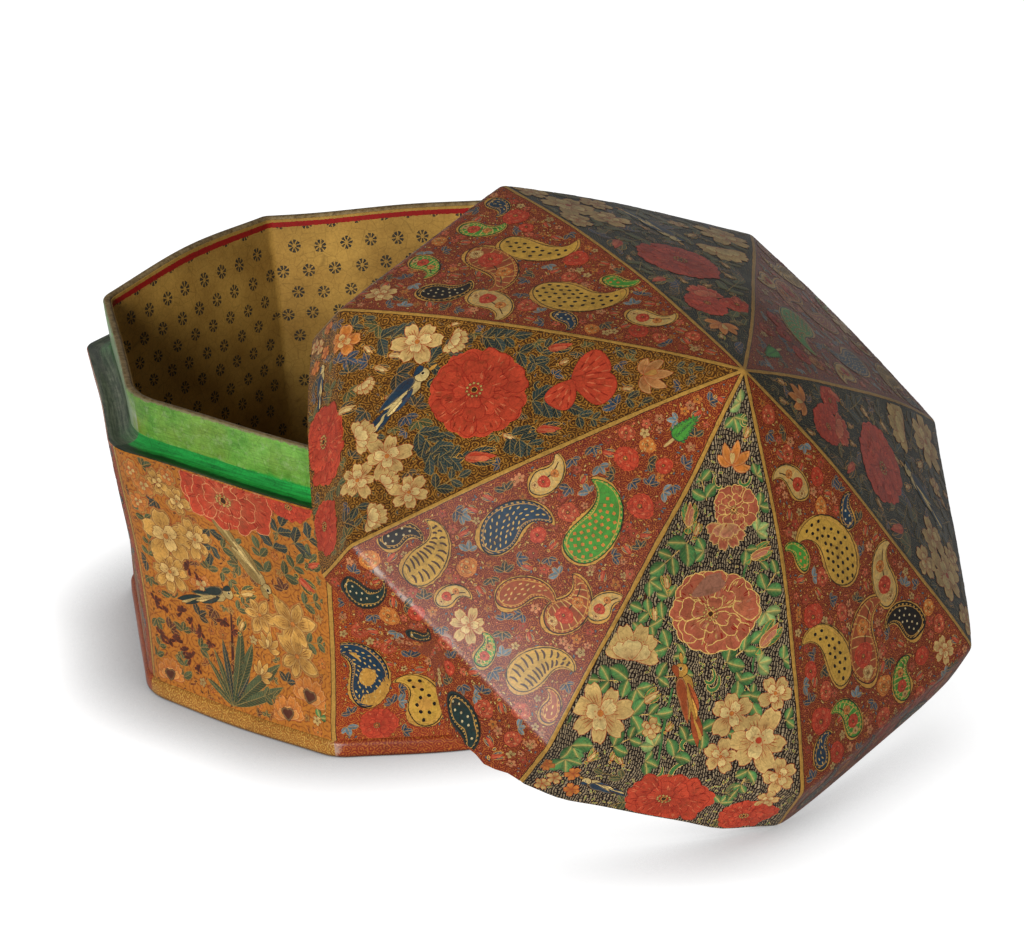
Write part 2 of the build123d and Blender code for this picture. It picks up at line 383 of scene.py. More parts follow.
class Sheet:
    """Gathers points, faces and their facts for one mesh."""

    FACTS = {"paint": 4, "line": 4, "stroke": 3, "touch": 2, "panel": 3}

    def __init__(self):
        self.points = []
        self.facts = {name: [] for name in self.FACTS}
        self.faces = []
        self.count = 0

    def add(self, points, faces, material, **facts):
        """Adds a batch of points, with faces as (n, corners) index arrays into it."""
        self.points.append(points)
        for name, width in self.FACTS.items():
            value = facts.get(name)
            self.facts[name].append(np.zeros((len(points), width)) if value is None else value)
        for block in faces:
            if len(block):
                self.faces.append((np.asarray(block) + self.count, material))
        self.count += len(points)

    def make(self, name, materials, bake=None):
        """The mesh object, at the origin, in metres. bake maps a point's place on its side to 0 to 1."""
        mesh = bpy.data.meshes.new(name)
        corners = np.concatenate([block.ravel() for block, _ in self.faces])
        totals = np.concatenate([np.full(len(block), block.shape[1]) for block, _ in self.faces])
        slots = np.concatenate([np.full(len(block), slot) for block, slot in self.faces])
        mesh.vertices.add(self.count)
        mesh.vertices.foreach_set("co", (np.concatenate(self.points) * MM).astype(np.float32).ravel())
        mesh.loops.add(len(corners))
        mesh.loops.foreach_set("vertex_index", corners.astype(np.int32))
        mesh.polygons.add(len(totals))
        starts = np.concatenate([[0], np.cumsum(totals)[:-1]])
        mesh.polygons.foreach_set("loop_start", starts.astype(np.int32))
        mesh.polygons.foreach_set("material_index", slots.astype(np.int32))
        mesh.polygons.foreach_set("use_smooth", np.ones(len(totals), bool))
        mesh.update(calc_edges=True)
        kinds = {4: "FLOAT_COLOR", 3: "FLOAT_VECTOR", 2: "FLOAT2"}
        for fact, width in self.FACTS.items():
            values = np.concatenate(self.facts[fact])
            if not values.any():
                continue
            layer = mesh.attributes.new(fact, kinds[width], "POINT")
            layer.data.foreach_set("color" if width == 4 else "vector", values.astype(np.float32).ravel())
        mesh.set_sharp_from_angle(angle=math.radians(38))
        if bake is not None:
            panel = np.concatenate(self.facts["panel"])
            uv = mesh.uv_layers.new(name="OFBake")
            uv.data.foreach_set("uv", bake(panel)[corners].astype(np.float32).ravel())
        for material in materials:
            mesh.materials.append(material)
        piece = bpy.data.objects.new(name, mesh)
        bpy.context.scene.collection.objects.link(piece)
        return piece


def drop_repeats(quads):
    """Quads with a repeated corner become triangles, as at the apex, and thinner ones go."""
    same = quads == np.roll(quads, -1, axis=1)
    repeats = same.sum(axis=1)
    three = quads[repeats == 1]
    return quads[repeats == 0], three[~same[repeats == 1]].reshape(-1, 3)


def corners_of(side, radii):
    """Radii of the two corners beside a side."""
    return np.array([radii[side - 1], radii[side]])


def slab(sheet, section, heights, side, place, columns, corners, slots):
    """A closed section carried along one side between its two mitres, with rounded upright corners.

    heights holds each row's v for the painting, corners the two radii of each row, and slots the material of
    the strip above each row.
    """
    section = np.asarray(section, float)
    reach = section[:, :1]
    corners = np.broadcast_to(np.asarray(corners, float), (len(section), 2))
    corners = np.minimum(corners, reach * 0.25)
    bend = np.linspace(0, STEP / 2, 7)[1:]
    run = (reach - corners) * HALF_TAN
    left, right = corners[:, :1], corners[:, 1:]
    middle = np.where(columns < 0, run[:, :1], run[:, 1:]) * columns
    s = np.concatenate([-(run[:, :1] + left * bend[::-1]), middle, run[:, 1:] + right * bend], axis=1)
    inwards, across, _, border = round_corner(reach, corners[:, None], s)
    points = np.stack([reach - inwards, across, np.repeat(section[:, 1:], s.shape[1], axis=1)], axis=-1)
    rows, cols = s.shape
    index = np.arange(rows * cols).reshape(rows, cols)
    index[section[:, 0] < 1e-6] = index[section[:, 0] < 1e-6][:, :1]
    below, above = index, np.roll(index, -1, axis=0)
    quads = np.stack([below[:, :-1], below[:, 1:], above[:, 1:], above[:, :-1]], axis=-1)
    panel = np.stack([s, np.repeat(np.asarray(heights, float)[:, None], cols, axis=1), border], axis=-1)
    wear_and_sheen = np.zeros((rows * cols, 2))
    wear_and_sheen[:, 1] = worn(place, side, s, panel[..., 1]).ravel()
    placed = place(turned(points.reshape(-1, 3), side))
    start = sheet.count
    sheet.add(placed, [], 0, panel=panel.reshape(-1, 3), touch=wear_and_sheen)
    slots = np.asarray(slots)
    for slot in np.unique(slots):
        for block in drop_repeats(quads[slots == slot].reshape(-1, 4)):
            if len(block):
                sheet.faces.append((block + start, int(slot)))
    for cap in (index[:, 0], index[::-1, -1]):
        sheet.faces.append((np.array([cap + start]), int(slots[-1])))


# Places rubbed pale by hands and shelves, and spots of painted sheen, as (side, u, v, spread of u, spread of
# v, strength)
RUBBED_AND_SHEEN = {
    "lid": (
        # On side 5 the pale line along the fold, at v 24 to 27, is worn paint and also a painted highlight.
        (5, -44.0, 25.0, 9.0, 2.6, 1.0), (5, -24.0, 25.0, 12.0, 2.0, 0.85), (5, -2.0, 26.0, 10.0, 3.4, 0.7),
        (5, 18.0, 27.0, 9.0, 3.0, 0.5), (5, 38.0, 24.0, 8.0, 2.5, 0.4), (4, 0.0, 24.0, 60.0, 1.6, 0.25),
        (6, 57.0, 20.0, 3.0, 20.0, 0.3), (7, 0.0, 0.0, 60.0, 1.4, 0.4), (6, 0.0, 0.0, 60.0, 1.2, 0.35),
    ),
    "box": (
        (5, 57.0, 4.0, 7.0, 4.0, 0.8), (6, -56.0, 4.0, 7.0, 5.0, 1.0), (5, 0.0, 118.0, 70.0, 1.0, 0.5),
        (6, 0.0, 118.0, 70.0, 1.0, 0.5), (4, 0.0, 126.0, 90.0, 16.0, 1.0), (3, 0.0, 126.0, 90.0, 16.0, 1.0),
        # (4, 56, 60, ...) is not wear: it paints a pale sheen down the round corner at u 56 of side 4.
        (5, 0.0, 8.0, 60.0, 0.8, 0.3), (4, 56.0, 60.0, 6.0, 60.0, 0.35),
    ),
}


def worn(place, side, u, v):
    """Wear and painted sheen of each point: bells about the rubbed places and the spots of painted sheen."""
    wear_and_sheen = np.zeros(u.shape)
    for rubbed, middle, height, wide, tall, strength in RUBBED_AND_SHEEN["lid" if place is place_lid else "box"]:
        if rubbed == side:
            bell = np.exp(-(((u - middle) / wide) ** 2) - ((v - height) / tall) ** 2)
            wear_and_sheen = np.maximum(wear_and_sheen, strength * bell)
    return wear_and_sheen


# --- Brush work ----------------------------------------------------------------------------------------


def petal_edge(a):
    """Rounded petal, narrow at its foot: a circle widened towards the tip."""
    x = 0.5 - 0.5 * np.cos(a)
    return x, np.sin(a) * (0.45 + 0.6 * x)


def leaf_edge(a):
    """Leaf pointed at both ends: a circle's sideways part raised to a power."""
    return 0.5 - 0.5 * np.cos(a), np.sin(a) * np.abs(np.sin(a)) ** 0.7


def disc_edge(a):
    """Disc about its own centre."""
    return np.cos(a), np.sin(a)


def serrated_edge(a):
    """Leaf with a saw-toothed rim."""
    x, y = leaf_edge(a)
    return x, y * (1 + 0.2 * np.sign(np.sin(12 * a)))


def lobe_edge(a):
    """Broad blunt petal, narrow at its foot, its tip waved in three."""
    x = 0.5 - 0.5 * np.cos(a)
    return x * (1 - 0.06 * np.cos(6 * (a - math.pi)) * (x > 0.55)), np.sin(a) * (0.4 + 0.72 * x)


def full_edge(a):
    """Full flower about its own centre: a lopsided circle with sixteen small scallops."""
    r = 0.95 + 0.06 * np.abs(np.sin(8 * a)) + 0.03 * np.cos(3 * a + 0.6) + 0.02 * np.cos(2 * a)
    return r * np.cos(a), r * np.sin(a)


def teardrop_edge(a):
    """Broad round foot and a drawn-out tip."""
    x = 0.5 - 0.5 * np.cos(a)
    return x, np.sin(a) * (1.05 - 0.85 * x)


def trimmed_edge(a):
    """The same drop with a scalloped rim."""
    x, y = teardrop_edge(a)
    return x, y * (1 + 0.05 * np.abs(np.sin(16 * a)))


CENTRES = {disc_edge: 0.0, full_edge: 0.0}


def ink(paint):
    """Linear colour of a pigment's name, or of each name in a list. Colours stay as they are."""
    if isinstance(paint, str):
        return INK[paint]
    return np.array([ink(each) for each in paint]) if isinstance(paint, (list, tuple)) else paint


class Brush:
    """Lays patches of paint on one side. Sizes are millimetres of that side, and turns are degrees."""

    BASE, LIFT = 0.05, 0.016  # height of the first layer of paint and thickness of each

    def __init__(self, sheet, surface, low, high, margin, material, seed):
        self.sheet = sheet
        self.surface = surface
        self.low, self.high, self.margin = low, high, margin
        self.material = material
        self.rng = np.random.default_rng(seed)
        self.taken = []

    def stroke(self, u, v, lift, faces, edge, along, across, length, paint, line, width, shade, vein):
        """Puts one batch on the surface, cut off at the side's painted border."""
        limit = self.surface.half(np.clip(v, self.low, self.high)) - self.margin
        outside = (v < self.low) | (v > self.high) | (np.abs(u) > limit)
        v = np.clip(v, self.low, self.high)
        limit = np.maximum(self.surface.half(v) - self.margin, 0)
        u = np.clip(u, -limit, limit)
        faces = [block[~outside[block].all(axis=1)] for block in faces if len(block)]
        count = len(u)
        length, width, shade, vein = (
            np.broadcast_to(np.asarray(each, float), count) for each in (length, width, shade, vein)
        )
        colour = np.column_stack([np.broadcast_to(ink(paint), (count, 3)), length])
        outline = np.column_stack([np.broadcast_to(ink(line), (count, 3)), width])
        points, border = self.surface.points(u, v, lift)
        self.sheet.add(
            points,
            faces,
            self.material,
            paint=colour,
            line=outline,
            stroke=np.column_stack([edge, along, across]),
            touch=np.column_stack([shade, vein]),
            panel=np.column_stack([u, v, border]),
        )

    def lay(
        self, edge, u, v, turn, length, width, paint, line, level, *,
        bend=0, spokes=16, rings=(0.5, 0.86, 1.0), outline=0.55, shade=0.35, vein=0.0,
    ):
        """Star-shaped patches: an outline scaled to length and half width, filled by rings round its centre.

        Any argument may be an array, one entry to a patch. Distance to the outline grows linearly inwards.
        """
        rings = np.array(rings)
        angles = np.linspace(0, 2 * math.pi, spokes, endpoint=False)
        x, y = edge(angles)
        middle = CENTRES.get(edge, 0.5)
        given = (u, v, turn, length, width, level, bend)
        given = np.broadcast_arrays(*(np.atleast_1d(np.asarray(value, float)) for value in given))
        u, v, turn, length, width, level, bend = given
        copies = len(u)
        a, phase = np.tile(angles, len(rings)), self.rng.uniform(0, 6.3, (2, copies, 1))
        wobble = 0.03 * np.sin(3 * a + phase[0]) + 0.02 * np.sin(5 * a + phase[1])
        wobble = 1 + np.pad(wobble, ((0, 0), (1, 0)))
        radius = np.concatenate([[0], np.repeat(rings, spokes)])
        x = middle + radius * (np.concatenate([[middle], np.tile(x, len(rings))]) - middle)
        y = radius * np.concatenate([[0], np.tile(y, len(rings))])
        reach = np.concatenate([[0], np.tile(np.hypot((edge(angles)[0] - middle), 0), len(rings))])
        side = np.concatenate([[0], np.tile(edge(angles)[1], len(rings))])
        along = (middle + (x - middle) * wobble) * length[:, None]
        across = y * width[:, None] * wobble
        rim = (1 - radius) * np.hypot(reach * length[:, None], side * width[:, None])
        rim[:, 0] = np.minimum(length * 0.5, width)
        # the middle line turns by bend times the squared share: the mean of its heading, times the length
        share = along / length[:, None]
        samples = (np.arange(10) + 0.5) / 10
        heading = bend[:, None, None] * (share[..., None] * samples) ** 2
        forward, sideways = np.cos(heading).mean(axis=-1) * along, np.sin(heading).mean(axis=-1) * along
        heading = bend[:, None] * share**2
        forward, sideways = forward - across * np.sin(heading), sideways + across * np.cos(heading)
        c, s = np.cos(np.radians(turn))[:, None], np.sin(np.radians(turn))[:, None]
        pu = u[:, None] + forward * c - sideways * s
        pv = v[:, None] + forward * s + sideways * c
        lift = self.BASE + self.LIFT * level[:, None] + 0.02 * (1 - radius**2)
        size = 1 + spokes * len(rings)
        ring = np.arange(spokes)
        following = np.roll(ring, -1)
        fan = np.stack([np.zeros(spokes, int), 1 + ring, 1 + following], axis=1)
        bands = [
            np.stack([1 + k * spokes + ring, 1 + (k + 1) * spokes + ring,
                      1 + (k + 1) * spokes + following, 1 + k * spokes + following], axis=1)
            for k in range(len(rings) - 1)
        ]
        offset = (np.arange(copies) * size)[:, None, None]
        faces = [(fan[None] + offset).reshape(-1, 3)]
        if bands:
            faces.append((np.concatenate(bands)[None] + offset).reshape(-1, 4))
        paint, line = (
            np.repeat(np.broadcast_to(ink(each), (copies, 3)), size, axis=0) for each in (paint, line)
        )
        self.stroke(
            pu.ravel(), pv.ravel(), lift.ravel(), faces, rim.ravel(), along.ravel(), across.ravel(),
            np.repeat(length, size), paint, line, outline, shade, vein,
        )

    def stem(self, points, width, paint, line=None, level=1, outline=0.0, shade=0.0):
        """A ribbon of paint along a curve through three or more control points, thinning to its ends."""
        points = np.asarray(points, float)
        t = np.linspace(0, 1, 4 * len(points))
        n = len(points) - 1
        weights = np.stack([math.comb(n, k) * t**k * (1 - t) ** (n - k) for k in range(n + 1)], axis=1)
        line_points = weights @ points
        heading = np.gradient(line_points, axis=0)
        heading /= np.maximum(np.linalg.norm(heading, axis=1, keepdims=True), 1e-9)
        normal = np.stack([-heading[:, 1], heading[:, 0]], axis=1)
        half = width / 2 * (0.45 + 0.55 * np.sin(math.pi * np.clip(t, 0.04, 0.96)) ** 0.5)
        across = np.stack([-half, 0 * half, half], axis=1)
        pu = line_points[:, None, 0] + normal[:, None, 0] * across
        pv = line_points[:, None, 1] + normal[:, None, 1] * across
        run = lengths(line_points)
        index = np.arange(pu.size).reshape(pu.shape)
        quads = np.stack([index[:-1, :-1], index[:-1, 1:], index[1:, 1:], index[1:, :-1]], axis=-1)
        quads = quads.reshape(-1, 4)[:, ::-1]
        edge = np.stack([0 * half, half, 0 * half], axis=1)
        lift = self.BASE + self.LIFT * level + np.zeros(pu.shape)
        along = np.repeat(run[:, None], 3, axis=1)
        self.stroke(
            pu.ravel(), pv.ravel(), lift.ravel(), [quads], edge.ravel(), along.ravel(), across.ravel(),
            max(run[-1], 1e-3), paint, paint if line is None else line, outline, shade, 0.0,
        )

    def keep_clear(self, u, v, radius):
        """Notes a place, or an array of places, that small filling flowers leave free."""
        self.taken += zip(*(np.atleast_1d(each) for each in np.broadcast_arrays(u, v, radius)))

    def free_spots(self, spacing, room):
        """Jittered grid of spots that lie on the side and clear of what is already painted."""
        widest = self.surface.half(np.array([self.low]))[0] + spacing
        u, v = np.meshgrid(np.arange(-widest, widest, spacing), np.arange(self.low, self.high, spacing))
        u = u + (np.arange(len(u)) % 2)[:, None] * spacing / 2
        u = (u + self.rng.uniform(-0.33, 0.33, u.shape) * spacing).ravel()
        v = (v + self.rng.uniform(-0.33, 0.33, v.shape) * spacing).ravel()
        good = self.surface.half(np.clip(v, self.low, self.high)) - np.abs(u) > self.margin + room
        good &= (v > self.low + room) & (v < self.high - room)
        for tu, tv, radius in self.taken:
            good &= np.hypot(u - tu, v - tv) > radius + room
        return u[good], v[good]


# Pigments, as brushed on the real thing: earths, verdigris, indigo, lead white gone cream, and shell gold
PIGMENTS = {
    "rose": "#B2604A",
    "rose_light": "#C58068",
    "rose_dark": "#7E2F26",
    "scarlet": "#C74A32",
    "scarlet_light": "#D87050",
    "scarlet_dark": "#9A2C1E",
    "cream": "#CFB074",
    "cream_light": "#DEC68C",
    "cream_dark": "#B98A4A",
    "orange": "#D4853F",
    "orange_light": "#E29A54",
    "gold": "#CC9A4A",
    "gold_light": "#DDB870",
    "straw": "#9C8450",
    "straw_light": "#C4AC74",
    "umber": "#4A2C1A",
    "tan": "#B98452",
    "sienna": "#7C3E22",
    "black": "#171210",
    "green": "#467A48",
    "green_light": "#7FA068",
    "green_dark": "#33503A",
    "grass": "#4C9A3E",
    "teal": "#2F5650",
    "teal_dark": "#22383A",
    "indigo": "#24405C",
    "indigo_light": "#5A7488",
    "white": "#D8C8A0",
    "yellow": "#CFA548",
    "ochre": "#A8682A",
    "brick": "#A4512F",
    "plum": "#4E2A26",
    "iris": "#5C3226",
    "rust": "#A44E2C",
    "slate": "#26363A",
    "moss": "#43503A",
    "mauve": "#A4705F",
    "bark": "#743E1E",
    "coral": "#C4583C",
    "coral_light": "#DA9468",
    "honey": "#D6A456",
    "honey_light": "#E6C07C",
}
INK = {name: linear(colour) for name, colour in PIGMENTS.items()}


def tinted(brush, colour, count, spread=0.16):
    """Copies of a pigment, each a little lighter or darker, as brush loads differ."""
    return INK[colour] * (1 + brush.rng.uniform(-spread, spread, (count, 1)))


def polar(u, v, out, turn):
    """The spot at a distance out from (u, v), on a heading in degrees."""
    a = np.radians(turn)
    return u + out * np.cos(a), v + out * np.sin(a)


def ring_of(count, radius, u, v, start=0.0, squash=1.0):
    """Spots and outward turns, in degrees, of things set in a ring that squash presses flat."""
    turn = start + np.arange(count) * 360.0 / count
    a = np.radians(turn)
    return u + radius * np.cos(a), v + radius * squash * np.sin(a), turn


# Looks of common strokes: a hair of plain paint, a dot, a petal with its veins, and a row's rising layers
HAIR = {"outline": 0, "shade": 0, "spokes": 8, "rings": (1.0,)}
DOT = {"spokes": 6, "rings": (1.0,)}
PETAL = {"outline": 0.27, "shade": 0.8, "vein": -1.0}
LARGE_ROSE = 7.0  # radius past which a rose has painted petals instead of open loops

# Paints of a flower, as (body, lights, lines)
ROSES = {
    "dusky": ("rose", "rose_light", "gold_light"),
    "bright": ("scarlet", "scarlet_light", "scarlet_dark"),
    "lined": ("scarlet", "scarlet_light", "coral_light"),
    "pale": ("cream", "cream_light", "rust"),
    "amber": ("orange", "cream", "rust"),
    "poppy": ("orange", "orange_light", "rust"),
    "tan": ("tan", "cream_dark", "rust"),
    "honey": ("honey", "honey_light", "bark"),
    "coral": ("coral", "coral_light", "rose_dark"),
}


def petal_rows(brush, u, v, radius, kind, turn, petals, squash, level, thin):
    """Three rows of broad petals: each foot lies on the row's circle and each petal points outwards."""
    body, _, line = ROSES[kind]
    rng = brush.rng
    # rows from the rim inwards, as (foot, length, half width, number), in parts of the radius
    rows = ((0.42, 0.58, 0.36, max(petals - 4, 6)), (0.2, 0.52, 0.32, 6), (0.06, 0.38, 0.22, 4))
    for depth, (foot, size, wide, count) in enumerate(rows):
        mu, mv = (u, v) if depth == 0 else heart_of(u, v, radius)
        spacing = 2 * math.pi / count
        a = math.radians(turn + 31 * depth) + spacing * (np.arange(count) + rng.uniform(-0.2, 0.2, count))
        east, north = np.cos(a), squash * np.sin(a)
        sizes = size * radius * np.hypot(east, north) * rng.uniform(0.9, 1.06, count)
        brush.lay(
            lobe_edge, mu + foot * radius * east, mv + foot * radius * north,
            np.degrees(np.arctan2(north, east)) + rng.uniform(-9, 9, count),
            sizes, wide * radius * rng.uniform(0.88, 1.16, count), tinted(brush, body, count, 0.13), line,
            level + 1 + 1.6 * depth + np.arange(count) % 2 * 0.7,
            outline=thin, shade=0.3 if kind == "dusky" else 0.8, vein=-0.5,
            bend=rng.uniform(-0.3, 0.3, count), spokes=20,
        )


def petal_loops(brush, u, v, radius, kind, turn, petals, squash, level, thin):
    """Open loops for petals: each leaves the heart's side, goes out and comes back."""
    rng = brush.rng
    # rows from the rim inwards, as (foot, tip, number), in parts of the radius
    rows = ((0.64, 0.94, petals + 2), (0.38, 0.7, max(petals - 3, 5)), (0.16, 0.46, 5))
    for depth, (near, far, count) in enumerate(rows):
        if radius < 4.0 and depth == 1:
            continue
        gap = math.pi / count
        mu, mv = (u, v) if depth == 0 else heart_of(u, v, radius)
        for k in range(count):
            middle = math.radians(turn + 31 * depth) + 2 * gap * (k + rng.uniform(-0.22, 0.22))
            reach = far + rng.uniform(-0.1, 0.08) * (depth > 0)
            foot = near + rng.uniform(-0.16, 0.1)
            angle = middle + gap * np.array([-0.7, -1.3, 0.05, 1.3, 0.7]) * rng.uniform(0.8, 1.2)
            out = np.minimum(radius * np.array([foot, reach, reach * 1.16, reach, foot]), radius * 1.05)
            path = np.stack([mu + out * np.cos(angle), mv + out * squash * np.sin(angle)], axis=1)
            brush.stem(path[: rng.integers(4, 6)], thin, ROSES[kind][2], level=level + 1.5 + depth)


def heart_of(u, v, radius):
    """A rose's heart lies a little low and left of its middle."""
    return u - 0.08 * radius, v - 0.07 * radius


def rose(brush, u, v, radius, kind="dusky", turn=10.0, petals=9, squash=0.92, level=4):
    """Full-blown rose: a round body, its petals, fan strokes over them and a beaded heart."""
    body, light, line = ROSES[kind]
    rng = brush.rng
    large = radius > LARGE_ROSE
    brush.keep_clear(u, v, radius * 0.98)
    thin = min(0.4, radius * 0.018 + 0.12)
    thread = line if kind == "dusky" else body
    brush.lay(full_edge, u, v, turn, radius, radius * squash, body, thread, level, outline=thin, shade=0,
              spokes=64 if large else 32, rings=(0.5, 0.85, 1.0))
    if large:
        petal_rows(brush, u, v, radius, kind, turn, petals, squash, level, thin)
    else:
        pu, pv, pt = ring_of(5, radius * 0.55, u, v, turn + 20, squash)
        brush.lay(lobe_edge, pu, pv, pt + 90, radius * rng.uniform(0.3, 0.45, 5), radius * 0.16,
                  tinted(brush, light, 5, 0.1), light, level + 0.5, outline=0, shade=0.3, bend=0.8)
    # fan strokes, light and dark, that run outwards in every petal
    count = int(radius * 5)
    a = rng.uniform(0, 2 * math.pi, count)
    out = radius * rng.choice([0.3, 0.52, 0.74], count)
    brush.lay(leaf_edge, u + out * np.cos(a), v + out * squash * np.sin(a),
              np.degrees(a) + rng.uniform(-14, 14, count), radius * rng.uniform(0.1, 0.2, count),
              0.08 + radius * 0.011, ink([light, thread, "scarlet_dark"])[np.arange(count) % 3], body,
              level + 5.5, **HAIR)
    if not large:
        petal_loops(brush, u, v, radius, kind, turn, petals, squash, level, thin)
    hu, hv = heart_of(u, v, radius)
    size, top = radius * 0.07, level + 6.5
    brush.lay(disc_edge, hu, hv, 0, size, size, "umber", "gold", top, outline=0.25, spokes=10)
    pu, pv, _ = ring_of(11, radius * 0.15, hu, hv, turn, squash)
    bead = radius * 0.03 + 0.1
    brush.lay(disc_edge, pu, pv, 0, bead, bead, "gold_light", "umber", top + 1, outline=0.08, **DOT)


def bloom(
    brush, u, v, radius, kind="pale", turn=0.0, petals=5, pointed=False, heart="orange", level=4, halo=False
):
    """Open flower: broad waved petals from one middle, a few short ones folded over it, and a small heart.

    A halo repeats its outline a little way out.
    """
    body, light, line = ROSES[kind]
    rng = brush.rng
    brush.keep_clear(u, v, radius * 0.98)
    edge, wide = (leaf_edge, 0.27) if pointed else (lobe_edge, 0.43 * 5 / max(petals, 5) + 0.03)
    pt = turn + np.arange(petals) * 360.0 / petals + rng.uniform(-8, 8, petals)
    sizes = rng.uniform(0.86, 1.12, petals) * radius
    bend = rng.uniform(-0.4, 0.4, petals)
    if halo:
        brush.lay(edge, u, v, pt, sizes + 1.3, sizes * wide + 1.1, "cream_dark", "rust", level - 2,
                  outline=0.35, shade=0, bend=bend)
    brush.lay(edge, u, v, pt, sizes, sizes * wide, tinted(brush, body, petals, 0.1), line,
              level + 1 + np.arange(petals) % 2 * 0.6, bend=bend, **PETAL)
    if radius > 5:
        spread = np.repeat(pt, 3) + np.tile([-11.0, 0.0, 11.0], petals)
        brush.lay(leaf_edge, *polar(u, v, 0.3 * radius, spread), spread,
                  radius * rng.uniform(0.26, 0.42, 3 * petals), 0.17, line, line, level + 2.3, **HAIR)
    if not pointed and radius > 3.8:
        few = 3
        pt = turn + 30 + np.arange(few) * 360.0 / few + rng.uniform(-14, 14, few)
        brush.lay(lobe_edge, *polar(u, v, -0.12 * radius, pt), pt, radius * rng.uniform(0.6, 0.72, few),
                  radius * 0.31, tinted(brush, light, few, 0.08), line, level + 2.6 + np.arange(few) * 0.4,
                  outline=0.25, shade=0.7, vein=-1.0)
    brush.lay(disc_edge, u, v, 0, radius * 0.11, radius * 0.11, heart, line, level + 4.4, outline=0.2,
              spokes=8, rings=(0.6, 1.0))
    if radius > 6:
        pu, pv, _ = ring_of(7, radius * 0.19, u, v, turn)
        brush.lay(disc_edge, pu, pv, 0, 0.34, 0.34, "gold_light", line, level + 4.8, outline=0.1, **DOT)


def cupped(brush, u, v, radius, kind="pale", turn=90.0, level=4):
    """Flower seen from the side: petals fanned out behind a broad folded cup, with stamens between."""
    body, light, line = ROSES[kind]
    brush.keep_clear(*polar(u, v, radius * 0.4, turn), radius * 0.95)
    spread = np.array([-80.0, 80.0, -48.0, 50.0, -17.0, 18.0]) + brush.rng.uniform(-5, 5, 6)
    sizes = radius * np.array([1.0, 0.98, 1.08, 1.1, 1.16, 1.12])
    brush.lay(lobe_edge, u, v, turn + spread, sizes, radius * 0.34, tinted(brush, body, 6, 0.08), line,
              level + np.arange(6) * 0.45, outline=0.27, shade=0.7, vein=-1.0)
    stamens = polar(u, v, radius * 0.66, turn + np.linspace(-34, 34, 6))
    brush.lay(disc_edge, *stamens, 0, 0.3, 0.3, "orange", line, level + 3.1, outline=0.08, **DOT)
    brush.lay(lobe_edge, *polar(u, v, -0.1 * radius, turn), turn + np.array([-54.0, 54.0, 0.0]),
              radius * np.array([0.78, 0.78, 0.7]), radius * np.array([0.3, 0.3, 0.42]),
              tinted(brush, light, 3, 0.06), line, level + 3.4 + np.arange(3) * 0.5, outline=0.27, shade=0.6,
              vein=-1.0)


def lily(brush, u, v, radius, kind="amber", turn=90.0, level=4):
    """Long pointed petals thrown open from one foot."""
    body, light, line = ROSES[kind]
    brush.keep_clear(u, v + radius * 0.3, radius * 0.7)
    spread = np.array([-95.0, 88.0, -48.0, 42.0, -6.0])
    sizes = np.array([0.8, 0.72, 0.95, 0.9, 1.0]) * radius
    brush.lay(leaf_edge, u, v, turn + spread, sizes, radius * 0.2, tinted(brush, body, 5, 0.16), line,
              level + np.arange(5) * 0.5, bend=np.array([0.9, -0.9, 0.5, -0.5, 0.2]), **PETAL)
    brush.lay(lobe_edge, u, v, turn + 10, radius * 0.5, radius * 0.16, light, line, level + 3.2, outline=0.25)


def bud(brush, u, v, length, turn=90.0, kind="dusky", leaf="green", level=3):
    """Closed bud: a drop of colour with a folded petal, held by two long sepals."""
    body, light, line = ROSES[kind]
    brush.keep_clear(*polar(u, v, 0.5 * length, turn), length * 0.55)
    brush.lay(leaf_edge, u, v, turn + np.array([-24.0, 24.0, 180.0]), length * np.array([1.0, 1.05, 0.3]),
              length * 0.17, tinted(brush, leaf, 3), "gold", level, outline=0.26, shade=0.4, vein=0.7,
              bend=np.array([0.7, -0.7, 0.0]))
    brush.lay(teardrop_edge, u, v, turn, length, length * 0.27, body, line, level + 1, outline=0.32,
              shade=0.45, vein=-0.8)
    brush.lay(petal_edge, u, v, turn - 7, length * 0.78, length * 0.13, light, line, level + 2, outline=0.25,
              shade=0.4)


# Paints of leaves, as (leaf, lines)
GREENS = {
    "green": ("green", "gold_light"),
    "dark": ("moss", "straw"),
    "blue": ("slate", "straw"),
    "teal": ("slate", "straw"),
}
# Looks of dark and of green leaves, as (half width in parts of the length, outline, vein)
LEAF_LOOKS = ((0.29, 0.16, 0.6), (0.37, 0.0, 1.0))


def spray(brush, u, v, length, turn=90.0, kind="green", pairs=2, bend=0.3, level=2, edge=leaf_edge):
    """A curved stalk with broad leaves in pairs and one at its end."""
    leaf, line = GREENS[kind]
    rng = brush.rng
    ahead = np.array(polar(0, 0, 1, turn))
    aside = np.array([-ahead[1], ahead[0]])

    def along(share):
        return np.array([u, v]) + length * (ahead * share + aside * bend * share**2)

    path = along(np.linspace(0, 1, 3)[:, None])
    brush.stem(path, 0.4, line, level=level)
    share = np.repeat(np.linspace(0.1, 0.72, pairs), 2)
    flip = np.tile([-1.0, 1.0], pairs)
    heading = turn + np.degrees(np.arctan(2 * bend * share))
    spots = np.concatenate([along(share[:, None]), path[-1:]])
    heading = np.concatenate([heading + flip * rng.uniform(42, 62, 2 * pairs), [heading[-1]]])
    count = 2 * pairs + 1
    sizes = length * np.concatenate([0.62 * (1.1 - 0.3 * share), [0.6]]) * rng.uniform(0.85, 1.1, count)
    wide, outline, vein = LEAF_LOOKS[kind == "green"]
    brush.lay(edge, *spots.T, heading, sizes, sizes * wide, tinted(brush, leaf, count, 0.25), line,
              level + 1 + np.arange(count) % 2 * 0.5, outline=outline, shade=0.25, vein=vein,
              bend=rng.uniform(-0.6, 0.6, count))
    brush.keep_clear(*polar(*spots.T, sizes * 0.5, heading), sizes * 0.42)


